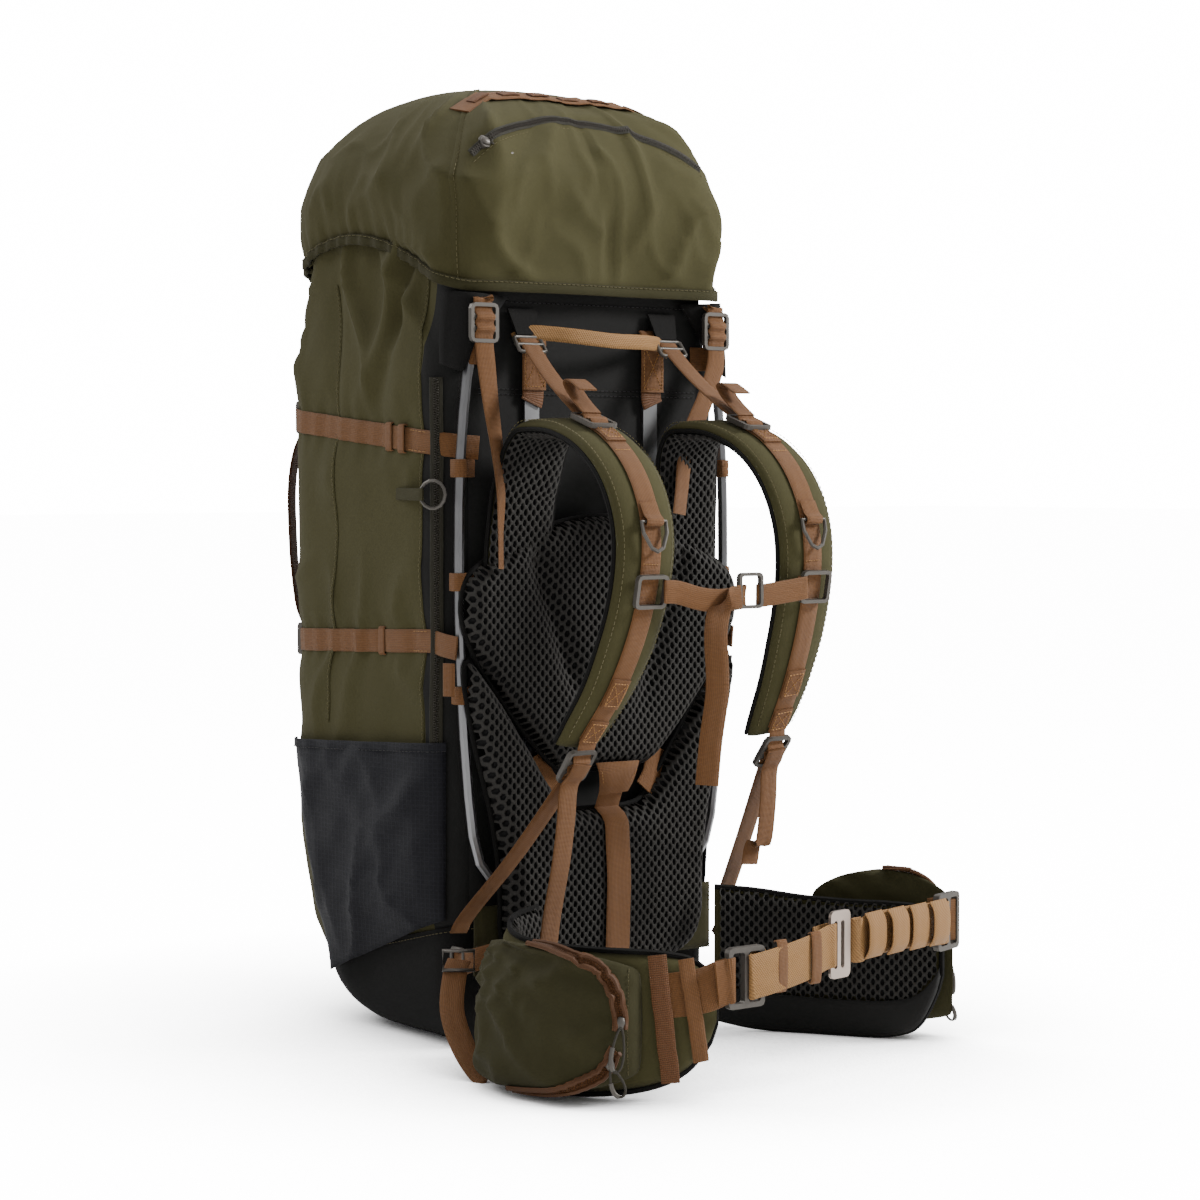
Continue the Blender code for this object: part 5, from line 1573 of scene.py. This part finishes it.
# ---------------------------------------------------------------- hip belt
WING_PLAN = {
    -1: [(-0.098, -0.192), (-0.134, -0.208), (-0.163, -0.245), (-0.174, -0.295), (-0.160, -0.347),
         (-0.124, -0.386), (-0.084, -0.404)],
    1: [(0.098, -0.192), (0.126, -0.215), (0.152, -0.248), (0.176, -0.285), (0.196, -0.318), (0.211, -0.343),
        (0.222, -0.360)],
}
WING_LOW = (0.012, 0.004, 0.002, 0.002, 0.004, 0.014, 0.040)
WING_HIGH = (0.134, 0.131, 0.126, 0.124, 0.124, 0.122, 0.112)
WING_THICK = 0.016


class Wing:
    """A belt wing: a point for a share of its length, a height share and a depth out of its inner face."""

    def __init__(self, side):
        self.side = side
        plan = [Vector((x, y, 0)) for x, y in WING_PLAN[side]]
        self.route = smooth(plan, 12)
        lows, highs = smooth([(z, 0, 0) for z in WING_LOW], 12), smooth([(z, 0, 0) for z in WING_HIGH], 12)
        self.low, self.high = [p.x for p in lows], [p.x for p in highs]
        self.run = [0.0]
        for a, b in zip(self.route, self.route[1:]):
            self.run.append(self.run[-1] + (b - a).length)
        self.length = self.run[-1]

    def at(self, distance):
        i = float(np.interp(distance, self.run, np.arange(len(self.run))))
        k = int(min(i, len(self.route) - 2))
        t = i - k
        p = self.route[k].lerp(self.route[k + 1], t)
        e = 4
        tangent = (self.route[min(k + e, len(self.route) - 1)] - self.route[max(k - e, 0)]).normalized()
        out = Vector((tangent.y, -tangent.x, 0)) * (-self.side)
        low = self.low[k] + (self.low[k + 1] - self.low[k]) * t
        high = self.high[k] + (self.high[k + 1] - self.high[k]) * t
        round_end = max(0.0, distance - (self.length - 0.030)) / 0.030
        squeeze = (1 - math.sqrt(max(0, 1 - round_end ** 2))) * (high - low) * 0.30
        return p, tangent, out, low + squeeze, high - squeeze

    def point(self, distance, z_share, depth):
        p, _, out, low, high = self.at(distance)
        return p + out * depth + UP * (low + (high - low) * z_share)


def make_wing(side, word):
    wing = Wing(side)
    _, _, out, _, _ = wing.at(wing.length * 0.5)
    if out.x * side < 0:
        raise ValueError("the wing's outward side is wrong")
    body = f"belt_{word}"
    rings = []
    for d in np.linspace(0, wing.length, 60):
        slim = min(1, 0.45 + d / 0.03, 0.45 + (wing.length - d) / 0.03)
        t = WING_THICK * slim
        mid = WING_THICK / 2
        ring = []
        for k in range(13):
            v = k / 12
            ring.append(wing.point(d, v, mid + t / 2 * (1 - (2 * v - 1) ** 6) + 0.0008 * wrinkle(d, v * 0.1,
                121.0)))
        for k in range(11):
            v = 0.96 - 0.92 * k / 10
            ring.append(wing.point(d, v, mid - (t / 2 - 0.0050) * (1 - (2 * v - 1) ** 6)))
        rings.append(ring)
    shell = ring_loft(f"belt_wing_cover_{word}", rings, OLIVE, body, replaces=(f"belt_wing_{word}",))
    cut = 0.26

    def place(d, h):
        p, tangent, out, low, high = wing.at(d)
        v = max(0, min(1, (h - low) / max(1e-6, high - low)))
        depth = WING_THICK / 2 - WING_THICK / 2 * (1 - 0.85 * (2 * v - 1) ** 8) - 0.0008
        lean = UP * 0.8 * (2 * v - 1) ** 5
        return p + out * depth + UP * h, (lean - out).normalized()

    def band_low(d):
        _, _, _, low, high = wing.at(d)
        return low + (high - low) * cut, high

    def inside(d, h):
        low, high = band_low(d)
        return 0.003 < d < wing.length - 0.003 and low < h < high - 0.001

    def clamp(d, h):
        d = max(0.001, min(wing.length - 0.001, d))
        low, high = band_low(d)
        return d, max(low, min(high, h))

    net(f"belt_wing_mesh_{word}", place, (0.003, 0.0), (wing.length, 0.14), body, inside, clamp)
    verts, faces = [], []
    for i in range(61):
        d = wing.length * i / 60
        for k in range(7):
            _, _, _, low, high = wing.at(d)
            h = low + (high - low) * (cut + 0.01) * k / 6
            point, normal = place(d, h)
            verts.append(point + normal * (0.0012 + 0.0007 * wrinkle(d, h, 131.0)))
    for i in range(60):
        for k in range(6):
            a = i * 7 + k
            faces.append((a, a + 1, a + 8, a + 7))
    strip = recalc(build(f"belt_wing_band_{word}", verts, faces, CHARCOAL, body))
    skin = strip.modifiers.new("cloth_thickness", "SOLIDIFY")
    skin.thickness = 0.0012
    loop = [wing.point(d, 1.0, WING_THICK / 2) for d in np.linspace(0, wing.length, 60)]
    loop += [wing.point(wing.length, v, WING_THICK / 2) for v in np.linspace(0.95, 0.05, 14)]
    loop += [wing.point(d, 0.0, WING_THICK / 2) for d in np.linspace(wing.length, 0, 60)]
    rod(f"belt_wing_piping_{word}", loop, 0.0026, BLACK, body, sides=6)
    return wing


def make_pouch(wing, side, word):
    """A zipped pouch on the outside of the wing: full below, drawn in at its upper edge, with deep soft folds."""
    body = f"belt_{word}"
    if side < 0:
        first, last, depth, crown = wing.length * 0.24, wing.length * 0.80, 0.046, 0.0
    else:
        first, last, depth, crown = wing.length * 0.40, wing.length * 1.04, 0.040, 0.026

    def surface(u, turn, lift=0.0):
        d = first + (last - first) * u
        p, tangent, out, low, high = wing.at(d)
        p = p + tangent * max(0.0, d - wing.length)
        if d > wing.length - 0.04:
            _, _, _, low, high = wing.at(wing.length - 0.04)
        full = math.sin(math.pi * min(1, max(0, u))) ** 0.5
        c, s = math.cos(turn), math.sin(turn)
        squash = (abs(c) ** 2.3 + abs(s) ** 2.3) ** (-1 / 2.3)
        h, o = 0.5 + 0.5 * s * squash, max(0.0, 0.5 + 0.5 * c * squash)
        spread = math.atan2(1.12 - h, u + 0.10)
        reach = math.hypot(1.12 - h, u + 0.10)
        wave = math.sin(spread * 14 + 2.5 * noise.noise(Vector((u * 2, h * 2, 140.0 + side))))
        fold = 0.0150 * (0.7 - 1.6 * abs(wave) ** 0.7)
        fold *= math.exp(-((reach - 0.45) / 0.42) ** 2)
        fold += 0.0085 * crease(u * 2.6 + h * 2.0, h * 2.4 - u * 1.4, 145.0 + side, 3.4) - 0.002
        fold += 0.0030 * noise.noise(Vector((u * 5, h * 5, 150.0 + side)))
        lean = 0.58 + 0.42 * (1 - h) ** 0.7
        z = low + 0.002 + (high + crown - low + 0.002) * (0.03 + 0.96 * h) * (0.68 + 0.32 * full) + (1
            - full) * 0.016
        centre = wing.at(d)[2]
        away = WING_THICK + 0.0008 + (depth * lean * full + fold * full) * o + lift
        return p + centre * away + UP * max(0.0030, z)

    rings = [[surface(i / 52, math.tau * k / 44) for k in range(44)] for i in range(53)]
    pouch = ring_loft(f"belt_pouch_{word}", rings, OLIVE_DARK, body, replaces=(f"belt_pocket_{word}",))
    smoother = pouch.modifiers.new("soft", "SUBSURF")
    smoother.levels = 1
    smoother.render_levels = 1

    def track(points, count):
        path = []
        for spot in smooth([(u, t, 0) for u, t in points], count):
            u, turn = spot.x, math.radians(spot.y)
            here = surface(u, turn)
            du, dt = surface(u + 0.01, turn) - here, surface(u, turn + 0.03) - here
            normal = du.cross(dt).normalized()
            if normal.dot(wing.at(first + (last - first) * u)[2] + UP * math.sin(turn)) < 0:
                normal = -normal
            path.append((here + normal * 0.0008, normal))
        return path

    upper = track([(0.50, 88), (0.66, 78), (0.80, 62), (0.885, 38), (0.915, 12), (0.920, -4)], 9)
    zip_path(f"pouch_zip_{word}", upper, body)
    lower = track([(0.900, -24), (0.85, -46), (0.74, -62), (0.60, -72), (0.46, -78)], 9)
    zip_path(f"pouch_zip_low_{word}", lower, body)
    rows = Stitches()
    for u in (0.945,):
        path = track([(u, 70), (u, 20), (u, -30), (u, -66)], 10)
        rows.row([p for p, _ in path], [n for _, n in path])
    rows.done(f"pouch_stitching_{word}", THREAD, body)
    return upper, lower


def zip_path(name, path, body):
    """A piped zip whose outward direction turns along it."""
    route = [p for p, _ in path]
    outs = [o for _, o in path]
    side = []
    for i in range(len(route)):
        tangent = (route[min(i + 1, len(route) - 1)] - route[max(i - 1, 0)]).normalized()
        side.append(tangent.cross(outs[i]).normalized())
    ribbon(name + "_tape", route, side, 0.0135, 0.0010, ZIP_BROWN, body, raw=True)
    for index, shift in enumerate((-0.0042, 0.0042)):
        rod(f"{name}_lip_{index}", [p + s * shift + o * 0.0010 for p, s, o in zip(route, side, outs)], 0.0021,
            BROWN_DARK, body, sides=6)
    verts, faces = [], []
    total = even(route, 0.0011)
    for i in range(1, len(total) - 1):
        tangent = (total[i + 1] - total[i - 1]).normalized()
        k = min(len(outs) - 1, int(i * len(outs) / len(total)))
        out = outs[k]
        across = tangent.cross(out).normalized()
        middle = total[i] + across * (0.0008 if i % 2 else -0.0008) + out * 0.0010
        a, t, o = across * 0.0013, tangent * 0.00042, out * 0.0008
        base = len(verts)
        verts += [middle - a - t, middle + a - t, middle + a + t, middle - a + t, middle - a * 0.6 + o,
                  middle + a * 0.6 + o]
        faces += [(base, base + 1, base + 5, base + 4), (base + 2, base + 3, base + 4, base + 5),
                  (base + 1, base + 2, base + 5), (base + 3, base, base + 4)]
    build(name + "_coil", verts, faces, BROWN_DARK, body, smooth_shade=False)


def zip_pull(name, point, down, out, body, length=0.032):
    """A slider with a loop of grey cord and a moulded end."""
    point, down, out = Vector(point), Vector(down).normalized(), Vector(out).normalized()
    side = down.cross(out).normalized()
    rings = []
    for t, w, h in ((-0.0055, 0.0016, 0.0010), (-0.0045, 0.0034, 0.0026), (0, 0.0042, 0.0032),
                    (0.0042, 0.0032, 0.0026), (0.0055, 0.0014, 0.0010)):
        rings.append([point + down * t + side * w * math.cos(math.tau * k / 10) + out * (0.0016
            + h * math.sin(math.tau * k / 10) * 0.6) for k in range(10)])
    ring_loft(name + "_slider", rings, BUCKLE, body)
    loop = []
    for k in range(22):
        t = math.tau * k / 22
        swell = 0.0058 * math.sin(t)
        along = (1 - math.cos(t)) / 2
        loop.append(point + down * (0.004 + length * along) + side * swell * (0.55 + 0.6 * along)
            + out * (0.0035 - 0.0010 * along))
    rod(name + "_cord", loop, 0.0011, CORD, body, closed=True, sides=6)
    grip = [point + down * (0.004 + length * s) + out * 0.0026 + side * (0.0058 * math.sin(math.acos(1
        - 2 * s)) * (0.55 + 0.6 * s)) for s in np.linspace(0.45, 0.97, 9)]
    rod(name + "_grip", grip, 0.0020, BUCKLE, body, sides=8)


def make_belt_webbing():
    body = "belt_right"
    buckle = (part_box("belt_buckle_right")[0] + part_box("belt_buckle_right")[1]) / 2
    wide = BELT_WIDE
    along = Vector((1, 0.06, 0)).normalized()
    tip = Vector((-0.116, -0.409, 0.090))
    points = [tip + Vector((-0.020, 0.010, -0.002)), tip, tip + Vector((0.014, -0.009, 0.003)),
              buckle + Vector((-0.0215, 0.0018, -0.002)), buckle + Vector((-0.0118, 0.0000, -0.001)),
              buckle + Vector((-0.0165, -0.0036, -0.001)), buckle + Vector((-0.0215, -0.0012, -0.002)),
              buckle + Vector((-0.030, 0.0002, -0.003))]
    ribbon("belt_tab_webbing", points, UP, wide, 0.0020, BROWN, body, replaces=("belt_tab_right",))
    hook = (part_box("belt_hook")[0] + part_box("belt_hook")[1]) / 2
    low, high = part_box("belt_hook")
    left_slot = Vector((low.x + 0.0070, low.y * 0 + (low.y + high.y) / 2, hook.z))
    points = [buckle + Vector((0.026, 0.0020, 0.003)), buckle + Vector((0.0110, 0.0022, 0.001)),
              buckle + Vector((0.0020, -0.0048, 0.0)), buckle + Vector((0.0100, -0.0060, 0.001)),
              buckle + Vector((0.030, -0.0046, 0.003)), Vector((0.004, -0.4245, 0.109)),
              left_slot + Vector((-0.012, -0.0042, -0.001)), left_slot + Vector((-0.003, -0.0040, 0)),
              left_slot + Vector((0.0012, 0.0, 0)), left_slot + Vector((-0.004, 0.0036, 0)),
              left_slot + Vector((-0.018, 0.0036, -0.002))]
    ribbon("belt_webbing_right_strap", points, UP, wide, 0.0020, TAN, body, replaces=("belt_webbing_right",))
    for index, x in enumerate((-0.030, 0.012)):
        base = Vector((x, -0.4285 + 0.10 * (x + 0.03), 0.1065 + 0.05 * (x + 0.03)))
        loop = [base + UP * 0.0205 + Vector((0, 0.003, 0)), base + UP * 0.0198 - Vector((0, 0.0012, 0)),
                base - Vector((0, 0.0026, 0)), base - UP * 0.0198 - Vector((0, 0.0012, 0)),
                base - UP * 0.0205 + Vector((0, 0.003, 0))]
        ribbon(f"belt_keeper_{index}", loop, along, 0.012, 0.0016, BROWN, body, span=3)
    body = "belt_left"
    buckle = (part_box("belt_buckle_left")[0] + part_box("belt_buckle_left")[1]) / 2
    way = Vector((0.96, 0.28, 0))
    out = Vector((0.28, -0.96, 0))
    right_slot = Vector((high.x + 0.006, (low.y + high.y) / 2 + 0.003, hook.z + 0.001))
    points = [right_slot + Vector((0.012, 0.0045, 0)), right_slot + Vector((0.001, 0.0030, 0)),
              right_slot + Vector((-0.0025, -0.0010, 0)), right_slot + Vector((0.004, -0.0045, 0)),
              Vector((0.090, -0.4085, 0.1185)), Vector((0.130, -0.4020, 0.1190)),
              Vector((0.165, -0.3975, 0.1185)), buckle - way * 0.019 + out * 0.0040,
              buckle - way * 0.006 + out * 0.0046, buckle - way * 0.0005 + out * 0.0008,
              buckle - way * 0.0080 - out * 0.0034, buckle - way * 0.030 - out * 0.0042]
    ribbon("belt_webbing_left_strap", points, UP, wide, 0.0020, TAN, body, replaces=("belt_webbing_left",))
    for index, x in enumerate((0.092, 0.123, 0.154, 0.183)):
        y = np.interp(x, [0.09, 0.13, 0.165, 0.186], [-0.4085, -0.4020, -0.3975, -0.3935])
        base = Vector((x, y - 0.002, 0.1188))
        sway = 0.0012 * math.sin(index * 2.1)
        loop = [base + UP * 0.0195, base + UP * 0.012 + out * (0.0042 + sway), base + out * (0.0052 + sway),
                base - UP * 0.012 + out * (0.0042 + sway), base - UP * 0.0195]
        ribbon(f"belt_fold_{index}", loop, way, 0.0285, 0.0017, TAN, body, span=3)
    outer = [buckle + way * 0.006 - out * 0.0028, buckle + way * 0.0125 + out * 0.0002,
             buckle + way * 0.0180 + out * 0.0005, Vector((0.2285, -0.3705, 0.115)),
             Vector((0.2290, -0.3560, 0.114)), Vector((0.2240, -0.3460, 0.112))]
    ribbon("belt_left_anchor", outer, UP, wide, 0.0020, BROWN, body, span=4)


def make_wing_trim(wing, side, word):
    """Elastic loops near the tip, and the stabiliser strap at the root."""
    body = f"belt_{word}"
    if side < 0:
        for index, (d, lean) in enumerate(((wing.length * 0.835, 0.010), (wing.length * 0.905, 0.012))):
            points = []
            for v in np.linspace(1.0, 0.0, 12):
                bow = 0.0035 * math.sin(math.pi * v)
                points.append(wing.point(min(wing.length - 0.002, d + lean * (1 - v)), v,
                    WING_THICK + 0.0016 + bow))
            ribbon(f"wing_loop_{index}_{word}", points, wing.at(d)[1], 0.0155 if index == 0 else 0.0135, 0.0016,
                   BROWN_DARK if index == 0 else BROWN, body, span=2)
    corner = Vector((side * 0.153, -0.140, 0.082))
    root = wing.point(0.030, 0.72, WING_THICK + 0.002)
    strap = ribbon(f"stabiliser_{word}",
                   [corner + Vector((0, 0.012, 0.006)), corner, corner.lerp(root, 0.5) + Vector((side * 0.010,
                       0, 0)), root, wing.point(0.052, 0.62, WING_THICK + 0.0035)],
                   UP, STRAP_WIDE, STRAP_SHEET, BROWN, span=5)
    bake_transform(strap)
    if side < 0:
        tail = [(-0.176, -0.172, 0.0925), (-0.187, -0.181, 0.0830), (-0.2035, -0.200, 0.0560),
                (-0.2060, -0.219, 0.0290), (-0.2010, -0.236, 0.0085), (-0.1960, -0.244, 0.0045)]
        ribbon(f"stabiliser_tail_{word}", tail, (0.788, -0.616, 0), WEB, 0.0016, BROWN, body, span=5)
        rod(f"stabiliser_lock_{word}",
            [Vector((-0.1845, -0.183, 0.0945)) + Vector((0.788, -0.616, 0)) * a + UP * b for a, b in ((-0.0135,
                -0.0085),
            (0.0135, -0.0085), (0.0135, 0.0085), (-0.0135, 0.0085))], 0.0019, BUCKLE, body, closed=True)
    frame_loop = [corner + Vector((side * 0.002, 0, 0)) + Vector((0, a, b)) for a, b in ((-0.009, -0.014),
                  (0.009, -0.014), (0.009, 0.014), (-0.009, 0.014))]
    rod(f"stabiliser_buckle_{word}",
        [p.lerp(q, t) for p, q in zip(frame_loop, frame_loop[1:] + frame_loop[:1]) for t in (0.1, 0.5, 0.9)],
        0.0019, BUCKLE, "pack", closed=True)


# ---------------------------------------------------------------- collar, tabs and small things
def make_collar():
    rings = []
    for z, shrink, wall in ((0.700, 0.985, 0), (0.725, 0.955, 0), (0.748, 0.90, 0), (0.766, 0.80, 0),
                            (0.778, 0.70, 0), (0.785, 0.625, 0), (0.7835, 0.600, 0), (0.765, 0.74, 1),
                            (0.740, 0.90, 1)):
        ring = []
        for side, share in hoop_shares(90):
            x, y = BAG.flat(share, min(z, BAG_TOP))
            s = share * BAG.around(0.7)
            ruffle = 1 + 0.022 * math.sin(s * 190 + side) * min(1, max(0, (z - 0.72) / 0.05))
            scale = (shrink - 0.03 - 0.012 * wall) * ruffle
            ring.append(Vector((side * x * scale, 0.005 + (y - 0.005) * scale, z)))
        rings.append(ring)
    collar = ring_loft("snow_collar_cloth", rings, OLIVE_DARK, "pack", caps=False, replaces=("snow_collar",))
    cord = [p + UP * 0.0012 for p in rings[5]]
    rod("collar_drawcord", cord, 0.0016, CORD, "pack", closed=True, sides=6)
    return collar


def make_tabs(lower_front):
    """The sewn tab under the back pad and the strap down the middle of the lumbar pad."""
    rows = Stitches()
    ribbon("shield_tab", [(0, -0.1715, 0.255), (0, -0.1725, 0.247), (0.001, -0.1690, 0.236),
           (0.002, -0.163, 0.226)], ACROSS, 0.050, 0.0022, BROWN, "pack", span=4,
           widths=[0.050 - 0.0014 * k for k in range(13)])
    for dx in (-0.022, 0.022):
        rows.row([Vector((dx * 0.9, -0.1745, 0.247)), Vector((dx * 0.7, -0.1700, 0.236))], OUT, length=0.0024,
                 gap=0.001)
    line = []
    for z in np.linspace(0.236, 0.066, 30):
        y = lower_front(0.001, z) if z < 0.209 else -0.150 - 0.012 * (z - 0.209) / 0.027
        line.append((0.001, y - 0.0024, z))
    ribbon("lumbar_strap", line, ACROSS, 0.0275, 0.0018, BROWN, "pack", span=1)
    for side, word in SIDES:
        wedge = [(side * 0.070, -0.140, 0.262), (side * 0.060, -0.147, 0.240), (side * 0.048, -0.150, 0.226)]
        ribbon(f"pad_link_{word}", wedge, ACROSS, 0.020, 0.0016, BROWN, "pack", span=3)
    rows.done("tab_stitching", THREAD_TAN, "pack")


def make_small():
    low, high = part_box("side_zip_tab")
    centre = (low + high) / 2
    ribbon("side_zip_webbing", [centre + UP * 0.0145, centre + UP * 0.004, centre - UP * 0.0145],
           Vector((0.37, -0.93, 0)), 0.0125, 0.0026, BROWN, "side_zip", replaces=("side_zip_tab",))
    route = [bag_at(-1, 0.160, z, 0.0028) for z in np.linspace(0.14, 0.60, 50)]
    zip_line("side_zip", route, (-0.7, -0.7, 0), ZIP_TAPE, "pack", 0.012)
    pivot = Vector((-0.1748, -0.1134, 0.497))
    base = bag_at(-1, 0.200, 0.497, 0.001)
    ribbon("gear_ring_loop",
           [base + Vector((0.002, 0.014, 0)), base + Vector((-0.001, 0.002, 0)), pivot + Vector((-0.0022,
               0.0008, 0)), pivot + Vector((-0.0004, -0.0028, 0)), base + Vector((0.0002, -0.006, 0))],
           UP, 0.011, 0.0012, OLIVE_DARK, "pack", span=4)
    for side, word in SIDES:
        low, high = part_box(f"d_ring_{word}")
        pivot = Vector((side * 0.09, -0.3338, 0.47534))
        tab = [pivot + Vector((0, 0.0075, 0.016)), pivot + Vector((0, 0.002, 0.006)),
               pivot + Vector((0, -0.0030, 0.001)), pivot + Vector((0, -0.0006, -0.0035)),
               pivot + Vector((0, 0.0048, 0.002)), pivot + Vector((0, 0.0095, 0.016))]
        ribbon(f"d_ring_tab_{word}", tab, ACROSS, 0.0185, 0.0014, BROWN, f"shoulder_{word}", span=4)


def dress_hardware():
    """Materials and rounded edges for the hardware kept from the frame."""
    looks = {"buckle": BUCKLE, "slider": BUCKLE, "ring": BUCKLE, "hook": BUCKLE, "stay": ALUMINIUM,
        "hoop": ALUMINIUM, "board": BOARD,
             "zip": BUCKLE}
    for name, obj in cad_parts.items():
        if obj.hide_render:
            continue
        found = HOOK if name == "belt_hook" else next((m for key, m in looks.items() if key in name), BUCKLE)
        obj.data.materials.clear()
        obj.data.materials.append(found)
        if "hoop" in name or "ring" in name:
            obj.data.shade_smooth()
            continue
        rounding = obj.modifiers.new("soft_edges", "BEVEL")
        rounding.width = 0.0007 if "board" not in name else 0.0002
        rounding.segments = 2
        rounding.limit_method = "ANGLE"
        rounding.angle_limit = math.radians(40)
        rounding.harden_normals = False


make_stage()
bag = make_bag()
make_base()
bag_seams()
make_side_pockets()
make_compression()
make_front()
hood, zip_arc, zip_out = make_lid()
shield_front, lumbar_front = make_pads()
make_back()
make_upper()
make_lid_straps()
for side, word in SIDES:
    band, sign, point, body = make_shoulder(side, word)
    lifter, tangent, out, lower, end_tangent, end_out = finish_shoulder(side, word, band, sign, point, body)
    make_lifters(side, word, lifter, tangent, out, body)
    make_lower_straps(side, word, lower, end_tangent, end_out, body)
make_sternum()
for side, word in SIDES:
    wing = make_wing(side, word)
    upper, lower = make_pouch(wing, side, word)
    zip_pull(f"pouch_pull_{word}", upper[-4][0], (-0.25 * (side < 0), -0.12, -1), upper[-4][1], f"belt_{word}",
             0.036)
    zip_pull(f"pouch_pull_low_{word}", lower[5][0], (0.25, -0.30, -1),
             (Vector((-0.5, -0.8, 0.1)) if side < 0 else lower[5][1]), f"belt_{word}", 0.024)
    make_wing_trim(wing, side, word)
make_belt_webbing()
make_collar()
make_tabs(lumbar_front)
make_small()
slider = (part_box("lid_zip_slider")[0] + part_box("lid_zip_slider")[1]) / 2
zip_pull("lid_pull", slider + zip_out * 0.001, (0.93, -0.05, -0.30), zip_out, "lid_zip", 0.024)
dress_hardware()
